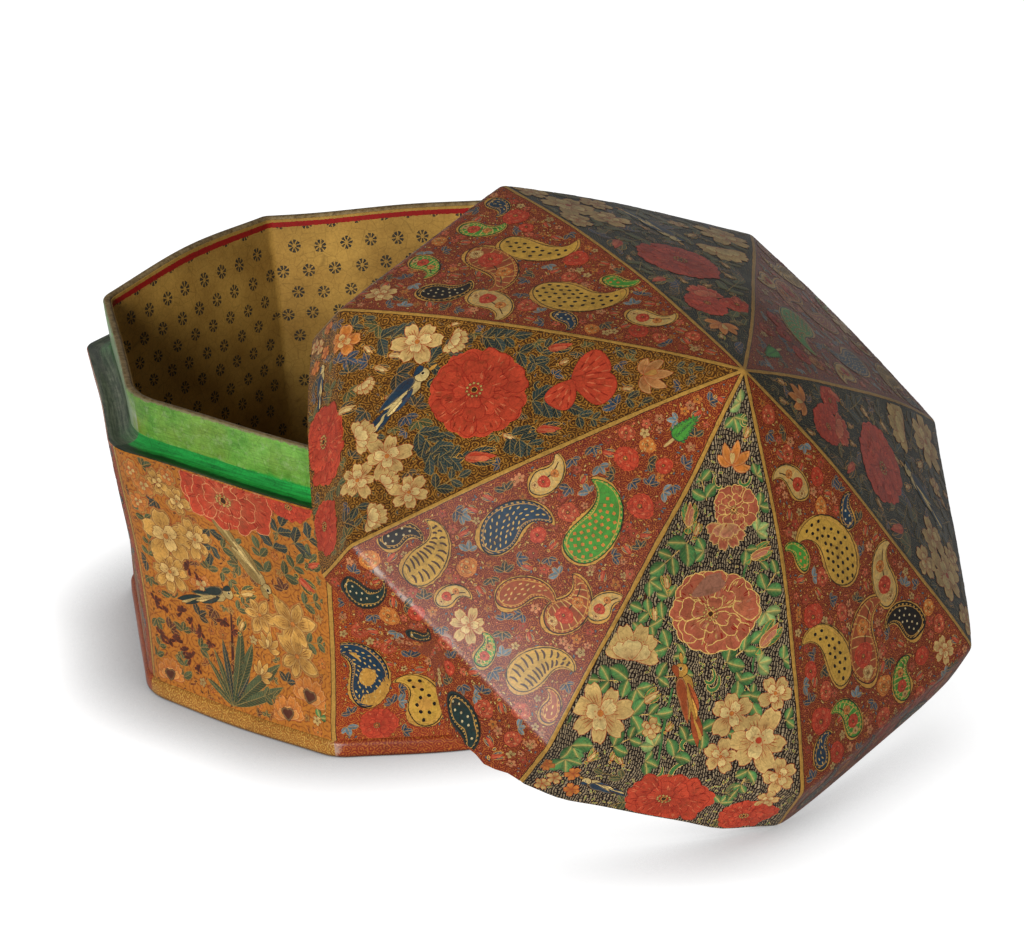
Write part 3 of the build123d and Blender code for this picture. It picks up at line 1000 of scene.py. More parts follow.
def blade(brush, u, v, length, turn, width=2.4, kind="green", bend=0.2, level=2):
    """Long grass-like leaf with a middle vein."""
    leaf, line = GREENS[kind]
    brush.lay(leaf_edge, u, v, turn, length, width * 0.75, tinted(brush, leaf, 1), line, level, outline=0.26,
              shade=0.3, vein=0.6, bend=bend, rings=(0.4, 0.75, 1.0), spokes=26)
    brush.keep_clear(*polar(u, v, length * np.array([0.25, 0.55, 0.85]), turn), width * 0.7)


def curl(brush, u, v, size, turn=90.0, kind="green", flip=1.0, level=2):
    """Tendril that winds in on itself: the control points follow a closing spiral."""
    leaf, line = GREENS[kind]
    t = np.linspace(0, 1, 7)
    centre = polar(u, v, -size, turn)
    path = np.stack(polar(*centre, size * (1 - 0.75 * t), turn + np.degrees(flip * t * 4.2)), axis=1)
    brush.stem(path, max(size * 0.38, 1.0), leaf, line, level=level, outline=0.22)
    brush.keep_clear(*centre, size * 0.8)


def bird(brush, u, v, length, turn=60.0, back="indigo", belly="cream_light", flip=1.0, level=4, plump=1.0):
    """Small perching bird: tail, body, wing with barred feathers, head, bill and eye. (u, v) is its breast.

    Each feather patch is placed ahead and aside of the breast, and sized, in parts of the bird's length.
    """
    ahead = np.array(polar(0, 0, 1, turn))
    aside = np.array([-ahead[1], ahead[0]]) * flip

    def lay(edge, x, y, way, long, wide, paint, layer, line="umber", **look):
        """One patch. way turns it from the bird's own heading, and None lays a disc, which has none."""
        spot = np.array([u, v]) + length * (x * ahead + y * aside)
        way = 0.0 if way is None else turn + np.asarray(way) * flip
        size = length * np.asarray(long)
        brush.lay(edge, *spot, way, size, length * wide, paint, line, level + layer, **look)

    lay(leaf_edge, -0.12, 0.02, [176, 183, 189], [0.52, 0.46, 0.4], 0.05,
        [back, belly, back], 0, outline=0.3, shade=0.2)
    lay(teardrop_edge, 0.34, 0.02, 174, 0.6, 0.2 * plump, belly, 1, outline=0.35, shade=0.4, vein=-0.6)
    lay(teardrop_edge, 0.30, 0.075, 176, 0.62, 0.13 * plump, back, 2, outline=0.35, shade=0.3, vein=-1.0)
    lay(leaf_edge, 0.20, -0.01, [180, 187], [0.5, 0.4], 0.055, [belly, back], 3, outline=0.2,
        vein=0.8)
    lay(leaf_edge, 0.44, 0.0, -8, 0.17, 0.03, "gold", 2, outline=0.15, spokes=8, rings=(1.0,))
    lay(disc_edge, 0.38, 0.03, None, 0.12 * plump, 0.115 * plump, belly, 4, outline=0.3, spokes=12)
    lay(petal_edge, 0.30, 0.09, 6, 0.18, 0.06, back, 5, outline=0.2, spokes=10, rings=(0.6, 1.0))
    lay(disc_edge, 0.40, 0.03, None, 0.026, 0.026, "black", 6, "white", outline=0.1, spokes=7, rings=(1.0,))
    shares = np.array([[-0.45], [-0.2], [0.1], [0.36]])
    brush.keep_clear(*(np.array([u, v]) + length * (shares * ahead + 0.02 * aside)).T, length * 0.13)


# Repeats inside a drop, as (step between them, edge, length, half width, pigment)
REPEATS = {
    "spots": (3.4, disc_edge, 0.95, 0.72, "black"),
    "checks": (2.7, disc_edge, 0.85, 0.85, "orange"),
    "dots": (2.8, disc_edge, 0.5, 0.5, "white"),
    "dashes": (2.3, leaf_edge, 1.7, 0.34, "gold_light"),
}
DROP_BEND = 2.3  # radians that a drop's tip curls over


def boteh(brush, u, v, length, turn, paint, figure, flip=1.0, wide=0.3, level=3, trim="gold"):
    """Drop shape whose tip curls over, with a scalloped gold trim, an inner band, and a small repeat inside.

    The repeat is stripes, bands, spots, checks, dots or dashes; a sprig of flowers grows over the bands.
    """
    bend = DROP_BEND * flip
    brush.lay(trimmed_edge, *polar(u, v, -0.9, turn), turn, length + 1.6, length * wide + 0.9, trim, "umber",
              level + 0.5, outline=0.3, shade=0, bend=bend, spokes=64, rings=(0.6, 1.0))
    brush.lay(teardrop_edge, u, v, turn, length, length * wide, paint, "black", level + 2, outline=0.45,
              shade=0.2, vein=3.0, bend=bend, spokes=40, rings=(0.35, 0.7, 0.88, 1.0))

    def local(x, y=0.0):
        """Place and heading of a spot given along and across the curled middle line."""
        x, y = np.broadcast_arrays(np.asarray(x, float), np.asarray(y, float))
        heading = bend * ((x / length)[..., None] * (np.arange(10) + 0.5) / 10) ** 2
        p, q = np.cos(heading).mean(axis=-1) * x, np.sin(heading).mean(axis=-1) * x
        heading = bend * (x / length) ** 2
        p, q = p - y * np.sin(heading), q + y * np.cos(heading)
        return *polar(*polar(u, v, p, turn), q, turn + 90), turn + np.degrees(heading)

    def room(share):
        """Half width that the repeat may fill at a share of the length: the drop's own, less its rim."""
        return np.maximum(length * wide * np.sin(np.arccos(1 - 2 * share)) * (1.05 - 0.85 * share) - 2.0, 0)

    striped = figure == "stripes"
    if striped or figure == "bands":
        for k, share in enumerate(np.arange(0.1, 0.88, 0.075 if striped else 0.09)):
            side = float(room(share)) + 0.6
            for low, high in ((-1, -0.15), (0.15, 1)) if striped else ((-1, 1),):
                spots = ((share, low), (share + 0.035, (low + high) / 2), (share + (k % 2) * 0.02, high))
                path = [local(x * length, y * side)[:2] for x, y in spots]
                width, paint = (0.9, "umber") if striped else (0.5, "gold_light")
                brush.stem(path, width, paint, level=level + 5)
    else:
        step, edge, tall, broad, colour = REPEATS[figure]
        x, y = np.meshgrid(np.arange(step * 0.8, length * 0.86, step), np.arange(-30 * step, 30 * step, step))
        y = (y + (np.arange(x.shape[1]) % 2)[None] * step / 2).ravel()
        x = x.ravel()
        keep = np.abs(y) < room(x / length) - 0.3
        pu, pv, pt = local(x[keep], y[keep])
        brush.lay(edge, pu, pv, pt + 20 + brush.rng.uniform(-25, 25, len(pu)), tall, broad, colour, colour,
                  level + 5, outline=0, shade=0, spokes=4 if figure == "checks" else 7, rings=(1.0,))
    if figure == "bands":
        brush.stem([local(x * length)[:2] for x in (0.04, 0.3, 0.55, 0.8)], 0.6, "umber", level=level + 6)
        for share, size, kind in ((0.3, 0.13, "bright"), (0.56, 0.085, "amber"), (0.12, 0.075, "pale")):
            pu, pv, _ = local(share * length)
            rose(brush, float(pu), float(pv), size * length, kind, petals=7, level=level + 6)
    shares = np.array([0.12, 0.32, 0.52, 0.72, 0.9])
    brush.keep_clear(*local(shares * length)[:2], room(shares) + 2.4)


def cypress(brush, u, v, height, level=3):
    """Pointed tree of clustered leaves on a pale stem."""
    brush.stem([(u - 0.4, v), (u, v + height * 0.2), (u, v + height * 0.4)], 1.8, "cream", "sienna",
               level=level, outline=0.3)
    brush.lay(teardrop_edge, u, v + height * 0.26, 90, height * 0.74, height * 0.24, "grass", "green_dark",
              level + 1, outline=0.5, shade=0.1, spokes=24)
    rows = np.repeat(np.linspace(0.34, 0.86, 7), 3)
    side = np.tile([-1.0, 0.0, 1.0], 7) * (0.17 * (1.1 - rows)) * 1.15
    brush.lay(leaf_edge, u + side * height, v + rows * height, 90 - side * 300, height * 0.1, height * 0.026,
              tinted(brush, "grass", 21, 0.3), "green_dark", level + 3, outline=0.2, spokes=8, rings=(1.0,))
    shares = np.array([0.1, 0.4, 0.65, 0.9])
    brush.keep_clear(u, v + shares * height, height * 0.2 * (1.2 - shares))


def trios(brush, spacing, size, colours, line="black", room=2.6):
    """Leaves in threes, scattered where there is space."""
    rng = brush.rng
    u, v = brush.free_spots(spacing, room)
    count = len(u)
    green = colours[0] == "green"
    turn = (rng.uniform(0, 360, count)[:, None] + np.array([0.0, 62.0, -58.0])).ravel()
    palette = ink(colours)[np.arange(count) % len(colours)]
    paint = np.repeat(palette, 3, axis=0) * rng.uniform(0.8, 1.25, (3 * count, 1))
    sizes = size * rng.uniform(0.75, 1.1, 3 * count)
    wide, outline, vein = (0.36, 0.0, 1.0) if green else (0.29, 0.14, 0.6)
    brush.lay(leaf_edge, np.repeat(u, 3), np.repeat(v, 3), turn, sizes, sizes * wide, paint, line, 1,
              outline=outline, vein=vein, spokes=12, rings=(0.6, 1.0), bend=rng.uniform(-0.5, 0.5, 3 * count))
    brush.keep_clear(u, v, size * 0.7)


def blossoms(brush, spacing, low, high, colours, room=1.5):
    """Five-lobed small flowers with a dot, scattered where there is space."""
    rng = brush.rng
    u, v = brush.free_spots(spacing, room)
    count = len(u)
    size = rng.uniform(low, high, count)
    turn = rng.uniform(0, 72, count)[:, None] + np.arange(5) * 72.0
    palette = ink(colours)[rng.integers(0, len(colours), count)]
    paint = np.repeat(palette * rng.uniform(0.75, 1.15, (count, 1)), 5, axis=0)
    pu, pv = polar(u[:, None], v[:, None], 0.55 * size[:, None], turn)
    sizes = np.repeat(size, 5)
    brush.lay(disc_edge, pu.ravel(), pv.ravel(), turn.ravel(), sizes * 0.46, sizes * 0.4, paint,
              "rose_dark", 0.5, outline=0.2, shade=0.4, spokes=7, rings=(0.6, 1.0))
    brush.lay(disc_edge, u, v, 0, size * 0.24, size * 0.24, "gold_light", "umber", 1.5, outline=0.14, **DOT)
    brush.keep_clear(u, v, size * 0.9)


def specks(brush, spacing, colours, low=1.2, high=2.2, line="umber"):
    """Loose strokes that close the last gaps."""
    rng = brush.rng
    u, v = brush.free_spots(spacing, 0.3)
    count = len(u)
    brush.lay(leaf_edge, u, v, rng.uniform(0, 360, count), rng.uniform(low, high, count), 0.45,
              ink(colours)[rng.integers(0, len(colours), count)], line, 0, outline=0.12, shade=0.3,
              bend=rng.uniform(-1, 1, count), **DOT)


def filling(brush):
    """Dense field between the large drops: roses, buds, leaves in threes, small blossoms and strokes."""
    rng = brush.rng
    for k, (u, v) in enumerate(zip(*brush.free_spots(13.5, 3.6))):
        kind = ("coral", "amber", "bright", "coral")[k % 4]
        rose(brush, u, v, rng.uniform(3.2, 4.6), kind, petals=7, turn=rng.uniform(0, 90), level=2)
    for u, v in zip(*brush.free_spots(10.0, 2.4)):
        bud(brush, u, v, rng.uniform(4.0, 5.4), rng.uniform(0, 360), "bright", "indigo", level=2)
    trios(brush, 7.0, 4.6, ("indigo", "indigo_light", "slate", "indigo"), "cream_dark", room=2.0)
    blossoms(brush, 4.2, 1.5, 2.4, ("scarlet_light", "orange", "coral", "coral_light", "cream"))
    specks(brush, 2.1, ("gold", "orange", "gold_light", "scarlet_light", "indigo_light"))


# --- What is painted on each side ----------------------------------------------------------------------


def crown_bouquet(brush, kind, leaves, bird_back, bird_belly, flip, loose):
    """Tall arrangement on a gore: lily, three-lobed bloom, great rose, bird and pale flowers.

    flip mirrors it, and loose moves each flower a little, so no two gores are the same stencil.
    """
    rng = brush.rng
    leaf = GREENS[leaves][0]

    def at(u, v):
        return flip * u + rng.uniform(-loose, loose), v + rng.uniform(-loose, loose)

    def way(turn):
        return turn if flip > 0 else 180 - turn

    # the great rose and the bloom above it
    rose(brush, *at(1.5, 91), 18.6, kind, petals=12, squash=0.9, turn=way(15))
    # on the dusky great rose, a pale mauve patch: scuffed paint and also a painted highlight
    if kind == "dusky":
        brush.lay(lobe_edge, -9 * flip, 95, 38, 15.0, 4.6, "mauve", "mauve", 13,
                  outline=0, shade=0, spokes=24)
    u, v = at(3, 132)
    rose(brush, u, v, 9.6, kind, petals=8, squash=1.0, turn=way(40))
    cupped(brush, u - 3 * flip, v - 7.5, 8.6, kind, turn=way(285))
    if kind == "bright":
        rose(brush, u - 15 * flip, v - 4, 7.0, kind, petals=7)
    lily(brush, *at(-0.5, 149), 10.5, "amber", turn=way(84))
    bud(brush, *at(4, 160), 5, way(80), "pale", leaves if leaves in PIGMENTS else "green")
    for u, v, size, turn, side in ((3, 170, 3.4, 95, 1), (8, 146, 4.2, 35, -1), (-7, 143, 3.8, 120, 1)):
        curl(brush, *at(u, v), size, way(turn), leaves, flip * side)
    # buds on their stalks
    for u, v, size, turn in ((-15.5, 121, 10, 95), (13, 113, 10, 38), (24, 79, 12, 62), (-19, 96, 6, 118)):
        u, v = at(u, v)
        brush.stem([(u, v), (u - 3 * flip, v - 5), (u - flip, v - 10)], 0.9, leaf, level=1)
        bud(brush, u, v, size, way(turn), kind if size > 7 else "pale", leaf)
    # leaves round the roses
    for u, v, size, turn, pairs in (
        (-10, 133, 11, 120, 2), (12, 134, 9, 40, 2), (-14, 116, 13, 235, 2), (21, 101, 12, 60, 2),
        (10, 71, 13, 30, 2), (17, 66, 12, 330, 2), (-14, 73, 12, 160, 2), (-18, 84, 10, 170, 2),
        (9, 117, 9, 330, 1),
    ):
        edge = serrated_edge if size > 11.5 and leaves != "green" else leaf_edge
        spray(brush, *at(u, v), size, way(turn), leaves, pairs, bend=rng.uniform(-0.3, 0.3), edge=edge)
    # bird below the rose
    bird(brush, *at(-1, 55), 32, way(118), bird_back, bird_belly, flip=flip, plump=0.82)
    brush.stem([at(-9, 58), at(-10, 44), at(-8, 27)], 1.1, leaf, level=1)
    # pale flowers at both sides
    cupped(brush, *at(-29, 66), 12.0, "pale", way(95))
    for u, v, radius, turn, petals, heart in (
        (-37, 42, 13.0, 20, 7, "orange"), (32, 43, 13.0, 5, 6, "scarlet"), (18, 52, 9.5, 30, 5, "orange"),
        (35, 62, 8.0, 0, 5, "orange"), (18, 34, 7.4, 12, 5, "orange"), (45, 30, 7.6, 40, 5, "orange"),
        (44, 18, 5.0, 10, 5, "orange"), (-15, 40, 4.8, 10, 5, "orange"),
    ):
        bloom(brush, *at(u, v), radius, "pale", turn=turn, petals=petals, heart=heart)
    bud(brush, *at(-20, 50), 8, way(50), "pale", leaf)
    bud(brush, *at(-22, 82), 6, way(110), "pale", leaf)
    for u, v, size, turn, pairs in (
        (-27, 58, 13, 205, 2), (-17, 60, 10, 20, 1), (-25, 44, 12, 12, 2), (-30, 30, 12, 20, 2),
        (-50, 34, 9, 150, 1), (31, 31, 10, 260, 2), (41, 52, 8, 20, 1), (6, 44, 12, 350, 1),
        (-3, 30, 13, 60, 2), (26, 60, 8, 140, 1),
    ):
        spray(brush, *at(u, v), size, way(turn), leaves, pairs, bend=rng.uniform(-0.35, 0.35))
    for u, v, size, turn, side in (
        (7, 38, 5.2, 20, 1), (-6, 26, 5.0, 50, -1), (2, 29, 6.0, 80, 1), (9, 66, 5.0, 60, -1),
        (6, 68, 4.4, 80, -1),
    ):
        curl(brush, *at(u, v), size, way(turn), leaves, flip * side)
    brush.stem([at(-26, 86), at(-30, 92), at(-27, 100)], 0.8, "umber", level=1)


def gilt_bouquet(brush):
    """The brown gore: great rose, a trefoil of round lobes, a lily, a bird and loose cream flowers."""
    rose(brush, -3, 81, 20.5, "bright", petals=12, squash=0.98, turn=15)
    u, v, turn, sizes = -3, 119, np.array([122.0, 62.0, -36.0]), np.array([17.0, 18.5, 15.0])
    brush.lay(petal_edge, u, v, turn, sizes, sizes * 0.52, tinted(brush, "scarlet", 3, 0.08), "scarlet_dark",
              5 + np.arange(3), outline=0.3, shade=0.3, vein=0.0, spokes=28)
    for way, size in zip(turn, sizes):
        spread = np.repeat([-22.0, -8.0, 7.0, 21.0], 3)
        out = np.tile([0.3, 0.5, 0.68], 4) * size
        paints = ink(["scarlet_light", "scarlet_dark"])[np.arange(12) % 2]
        brush.lay(leaf_edge, *polar(u, v, out, way + spread), way + spread * 1.2, size * 0.22, 0.34, paints,
                  "scarlet", 9, **HAIR)
        brush.keep_clear(*polar(u, v, 0.55 * size, way), 8.0)
    lily(brush, -1, 147, 12, "tan", 92)
    for u, v, radius, petals in (
        (-32, 57, 10.5, 6), (19, 42, 10, 6), (37, 50, 8, 6), (27, 29, 8.5, 7), (-40, 26, 7, 5),
    ):
        bloom(brush, u, v, radius, "amber" if v < 27 else "pale", turn=u * 5, petals=petals)
    for u, v, radius, turn in (
        (-30, 71, 6.5, 60), (8, 30, 8, 100), (45, 33, 7, 80), (31, 40, 6, 120), (-17, 34, 5, 30),
    ):
        cupped(brush, u, v, radius, "pale", turn)
    bird(brush, -6, 50, 34, 134, plump=0.88)
    for u, v, length, turn in ((-19, 110, 10, 96), (18, 103, 10, 84), (26, 74, 13, 84)):
        bud(brush, u, v, length, turn, "bright", "slate")
    for u, v, length, turn in ((-24, 39, 7, 60), (-28, 45, 7, 80), (-6, 22, 9, 100), (46, 62, 6, 60)):
        bud(brush, u, v, length, turn, "pale", "slate")
    for u, v, size, turn, pairs in (
        (-38, 40, 15, 70, 3), (-20, 60, 14, 100, 2), (-29, 84, 12, 70, 3), (-20, 97, 12, 60, 2),
        (4, 101, 14, 80, 3), (10, 55, 15, 40, 3), (22, 58, 14, 60, 3), (38, 60, 11, 120, 2),
        (18, 92, 13, 50, 3), (14, 119, 9, 60, 2), (-14, 136, 8, 100, 2), (9, 139, 9, 80, 2),
        (-46, 29, 9, 110, 2), (2, 36, 10, 10, 2), (38, 28, 9, 20, 2), (12, 66, 10, 0, 2),
        (-12, 104, 9, 150, 2), (-3, 160, 7, 90, 2),
    ):
        bend = brush.rng.uniform(-0.35, 0.35)
        spray(brush, u, v, size, turn, "blue", pairs, bend, edge=serrated_edge if size > 12.5 else leaf_edge)
    for u, v, size, turn in (
        (-12, 66, 4, 120), (0, 108, 4, 40), (27, 66, 4, 200), (-22, 119, 4, 60), (6, 153, 3, 30),
    ):
        curl(brush, u, v, size, turn, "blue", 1.0 if u < 0 else -1.0)


def skirt_garland(brush, flip):
    """Band of the skirt: a wide rose, a second one, pale berries, a small bird and leaves."""
    rose(brush, 2 * flip, 12, 18.5, "bright", petals=12, squash=0.66)
    rose(brush, 39 * flip, 8.5, 12.5, "bright", petals=9, squash=0.66)
    for k, (u, v) in enumerate(((-53, 15), (-47, 9), (-41, 14), (-50, 4), (-38, 6))):
        bloom(brush, u * flip, v, 3.4, "pale" if k % 2 else "amber", petals=5, turn=31 * k)
    bird(brush, -27 * flip, 11, 19, 170 if flip > 0 else 10, flip=flip)
    for u, v, size, turn in (
        (-20, 17, 9, 160), (24, 19, 9, 30), (54, 16, 7, 60), (-14, 5, 8, 200), (27, 5, 8, 330),
    ):
        spray(brush, u * flip, v, size, turn if flip > 0 else 180 - turn, "dark", 1)


DROP_GROWTH = 1.08  # a drop is painted a little longer than the tables below say


def red_garden(brush, figures, skirt):
    """Large drop shapes, roses and a tree among a dense field of small flowers."""
    for figure in figures:
        kind, args = figure[0], figure[1:]
        if kind is boteh:
            args = (*args[:2], args[2] * DROP_GROWTH, *args[3:])
        kind(brush, *args)
    for u, v, length, turn, flip in skirt:
        boteh(brush, u, v, length, turn, "teal_dark", "dots", flip, 0.24, trim="slate")
    filling(brush)


GARDEN_GROVE = (
    (cypress, 1, 141, 19),
    (rose, -6, 127, 5.2, "bright", 0, 8),
    (rose, 12, 118, 5.4, "bright", 0, 8),
    (boteh, 6, 84, 37, 78, "grass", "checks", 1.0, 0.3),
    (boteh, -16, 62, 33, 112, "indigo", "dashes", -1.0, 0.3),
    (boteh, 20, 58, 27, 66, "brick", "bands", 1.0, 0.34),
    (boteh, -24, 92, 19, 60, "cream", "bands", 1.0, 0.34),
    (boteh, 2, 50, 26, 88, "brick", "dashes", -1.0, 0.28),
    (boteh, -32, 31, 29, 74, "yellow", "stripes", 1.0, 0.32),
    (boteh, 31, 31, 29, 104, "yellow", "stripes", -1.0, 0.32),
    (boteh, 33, 73, 17, 120, "cream", "bands", -1.0, 0.34),
    (bloom, 0, 36, 7.5, "pale", 15, 7),
    (boteh, -47, 33, 19, 96, "black", "dots", -1.0, 0.32),
    (boteh, 13, 27, 15, 84, "grass", "bands", 1.0, 0.32),
    (boteh, 47, 30, 15, 86, "brick", "dashes", 1.0, 0.32),
    (boteh, -14, 33, 15, 100, "cream", "bands", -1.0, 0.32),
)
GARDEN_SPOTTED = (
    (boteh, -2, 128, 22, 84, "cream", "bands", 1.0, 0.3),
    (boteh, 3, 86, 41, 80, "yellow", "spots", 1.0, 0.31),
    (boteh, -18, 52, 36, 78, "yellow", "spots", 1.0, 0.26),
    (boteh, -3, 44, 40, 92, "brick", "bands", -1.0, 0.26),
    (boteh, 24, 66, 28, 105, "cream", "bands", -1.0, 0.3),
    (boteh, 31, 46, 25, 100, "black", "dots", 1.0, 0.34, 3, "gold"),
    (boteh, -20, 29, 22, 80, "grass", "bands", 1.0, 0.32),
    (boteh, 13, 27, 20, 100, "grass", "bands", -1.0, 0.34),
    (rose, -22, 86, 5.6, "bright", 0, 8),
    (rose, -36, 46, 6.0, "bright", 0, 8),
    (bloom, 40, 33, 6.5, "pale", 15, 6),
    (boteh, -42, 27, 17, 92, "indigo", "dashes", -1.0, 0.32),
    (boteh, -17, 104, 17, 78, "grass", "checks", 1.0, 0.3),
    (boteh, 17, 104, 16, 100, "indigo", "dots", -1.0, 0.3),
)
SKIRT_PODS = ((-50, 8, 27, 8, 1.0), (14, 7, 27, 12, -1.0), (-16, 12, 15, 20, 1.0))


def ochre_border(brush):
    """Body side in ochre: a great red flower at the top, lilies, birds, irises and blades from one root."""
    rng = brush.rng
    rose(brush, 5, 111, 25, "lined", petals=13, squash=0.62, turn=8)
    rose(brush, 41, 117, 11, "bright", petals=9, squash=0.7)
    for u, v, radius, turn, petals, pointed in (
        (-34, 81, 14, 22, 5, False), (-18, 84, 9.5, 10, 7, False), (-35, 63, 10, 0, 8, False),
        (-24, 101, 7, -72, 5, False), (-41, 104, 5, -123, 5, False), (-33, 108, 5.5, -99, 5, False),
        (-46, 95, 4.5, -138, 5, False), (-47, 110, 4.5, -141, 5, False), (-27, 112, 4, -81, 5, False),
        (33, 57, 12.5, 8, 6, True), (34, 42, 12, 25, 6, True), (14, 56, 9.5, 0, 6, True),
    ):
        bloom(brush, u, v, radius, "honey" if radius > 5 else "amber", turn, petals, pointed, halo=True)
    lily(brush, 17, 41, 9, "honey", 80)
    lily(brush, 12, 27, 8, "honey", 60)
    bud(brush, 4, 63, 10, 25, "honey", "green_dark")
    bud(brush, 1, 44, 8, 70, "honey", "green_dark")
    bloom(brush, -18, 61, 6.0, "amber", 5, 6)
    for u, v, radius, turn in ((40, 23, 8, 80), (29, 12, 7.5, 100), (-40, 11, 6.5, 95)):
        cupped(brush, u, v, radius * 1.25, "poppy", turn)
        brush.lay(lobe_edge, u, v - 1.5, turn, radius * 0.85, radius * 0.6, "iris", "umber", 9,
                  outline=0.25, vein=-1)
    bird(brush, -14, 56, 31, 22, "teal_dark", "straw_light", plump=0.85)
    bird(brush, 11, 82, 38, -48, "straw", "straw_light", flip=-1.0, plump=0.62)
    for u, v in ((-31, 44), (-21, 37), (-36, 29), (-46, 46), (-28, 23), (-45, 30), (-8, 47), (-24, 68)):
        for away, size in ((0.0, 3.8), (5.0, 3.0)):
            turn = u * 7 + np.array([-100.0, -60.0, -20.0, 20.0, 80.0]) + away * 9
            brush.lay(lobe_edge, u + away, v - away * 0.7, turn, rng.uniform(0.7, 1.2, 5) * size, size * 0.3,
                      tinted(brush, "iris", 5, 0.3), "rust", 6, outline=0.16, spokes=10, rings=(0.6, 1.0))
            brush.keep_clear(u + away, v - away * 0.7, 3.0)
    brush.stem([(-4, 8), (-5, 30), (-3, 52)], 1.5, "plum", level=1)
    for length, turn, width, bend, kind in (
        (38, 82, 3.8, 0.06, "dark"), (34, 72, 3.8, -0.04, "dark"), (38, 47, 4.2, -0.12, "dark"),
        (33, 28, 3.8, 0.1, "dark"), (30, 104, 2.4, -0.05, "teal"), (26, 116, 2.0, 0.1, "dark"),
        (20, 62, 2.0, 0.1, "teal"), (24, 130, 1.8, 0.12, "dark"), (18, 150, 2.0, 0.15, "dark"),
    ):
        blade(brush, -3, 8.5, length, turn, width, kind, bend)
    for u, v, size, turn, kind in (
        (26, 92, 15, 70, "teal"), (38, 98, 15, 20, "teal"), (20, 78, 12, 100, "dark"),
        (30, 80, 12, 30, "dark"), (-9, 93, 13, 280, "teal"), (-4, 84, 10, 20, "dark"),
        (-12, 99, 9, 60, "dark"), (-6, 72, 8, 330, "dark"),
        (48, 86, 9, 90, "dark"), (40, 68, 10, 40, "dark"), (40, 50, 9, 20, "dark"), (-46, 68, 9, 80, "dark"),
        (-48, 18, 9, 80, "dark"), (-33, 12, 9, 70, "dark"), (46, 16, 8, 60, "green"), (14, 18, 8, 20, "dark"),
        (-44, 86, 8, 100, "dark"), (1, 54, 8, 50, "dark"),
    ):
        edge = serrated_edge if kind == "teal" else leaf_edge
        spray(brush, u, v, size, turn, kind, 2, bend=rng.uniform(-0.3, 0.3), edge=edge)
    bud(brush, 39, 81, 10, -30, "bright", "green_dark")
    bud(brush, 45, 88, 8, 30, "bright", "green_dark")
    trios(brush, 7.0, 6.5, ("moss", "slate", "moss", "plum"), "cream_dark", 2.6)
    blossoms(brush, 5.5, 1.6, 2.6, ("orange", "cream", "cream_dark"), 1.6)
    trios(brush, 4.6, 3.6, ("sienna", "plum", "moss"), "cream_dark", 1.2)
    u, v = brush.free_spots(3.2, 0.6)
    count = len(u)
    brush.lay(leaf_edge, u, v, rng.uniform(0, 360, count), rng.uniform(2.0, 3.6, count), 0.6,
              tinted(brush, "sienna", count, 0.4), "cream_dark", 0, outline=0.14, spokes=8, rings=(0.6, 1.0))


# --- Materials -----------------------------------------------------------------------------------------


def add_node(tree, kind, *values, out=0, named=None, **settings):
    """Adds a node, sets its properties, and fills its inputs in order with values or sockets. None skips one.

    A word after the kind is its operation. named fills inputs by their names. out picks the output, and None
    gives them all.
    """
    kind, _, operation = kind.partition(" ")
    node = tree.nodes.new("ShaderNode" + kind)
    if operation:
        node.operation = operation
    for key, value in settings.items():
        setattr(node, key, value)
    by_name = [(node.inputs[name], value) for name, value in (named or {}).items()]
    for socket, value in [*zip(node.inputs, values), *by_name]:
        if isinstance(value, bpy.types.NodeSocket):
            tree.links.new(value, socket)
        elif value is not None:
            socket.default_value = value
    return node.outputs if out is None else node.outputs[out]


OBJECT_SPACE = 3  # output of the coordinate node that gives the object's own place


def new_material(name):
    """An empty node material, and the function that adds nodes to it."""
    material = bpy.data.materials.new(name)
    material.use_nodes = True
    material.node_tree.nodes.clear()
    return material, functools.partial(add_node, material.node_tree)


def varnish(add, colour, roughness=0.38, worn_and_sheen_colour="#C4B6A6", coat=0.07, grain=0.3, wear_and_sheen=None):
    """Old spirit varnish over paint: a soft gloss, fine crackle, brown patches of age, chalky worn edges, and
    a painted sheen at the sheen spots of the wear table.
    """
    place = add("TexCoord", out=OBJECT_SPACE)
    patches = add("TexNoise", place, None, 22.0, 3.0, 0.6, noise_dimensions="3D")
    age = add("MapRange", patches, 0.3, 0.7, 0.8, 1.12)
    aged = add("VectorMath MULTIPLY", colour, (1.03, 0.965, 0.8))
    aged = add("VectorMath SCALE", aged, None, None, age)
    cells = add("TexVoronoi", place, None, 210.0, feature="DISTANCE_TO_EDGE")
    crackle = add("MapRange", cells, 0.0, 0.035, 0.72, 1.0)
    fine = add("TexNoise", place, None, 900.0, 2.0, 0.6)
    dust = add("MapRange", fine, 0.3, 0.75, 0.84, 1.1)
    cracked = add("Math MULTIPLY", crackle, dust)
    aged = add("VectorMath SCALE", aged, None, None, cracked)
    if wear_and_sheen is not None:
        # worn spots take the pale worn colour, which at the sheen spots of the wear table is a painted sheen
        # and highlight
        chips = add("TexNoise", place, None, 260.0, 6.0, 0.75)
        reach = add("Math ADD", chips, wear_and_sheen)
        bare = add("MapRange", reach, 0.95, 1.35, 0.0, 0.62)
        near = add("Math GREATER_THAN", wear_and_sheen, 0.04)
        bare = add("Math MULTIPLY", bare, near)
        aged = add("MixRGB", bare, aged, rgba(worn_and_sheen_colour))
    rough = add("MapRange", patches, 0.3, 0.7, roughness + 0.07, roughness - 0.05)
    height = add("Math ADD", fine, cells)
    bump = add("Bump", grain, 0.0001, 1.0, height)
    film = {"Roughness": rough, "Normal": bump, "IOR": 1.5, "Specular IOR Level": 0.22}
    shader = add("BsdfPrincipled", aged, named={**film, "Coat Weight": coat, "Coat Roughness": 0.22})
    add("OutputMaterial", shader, out=None)


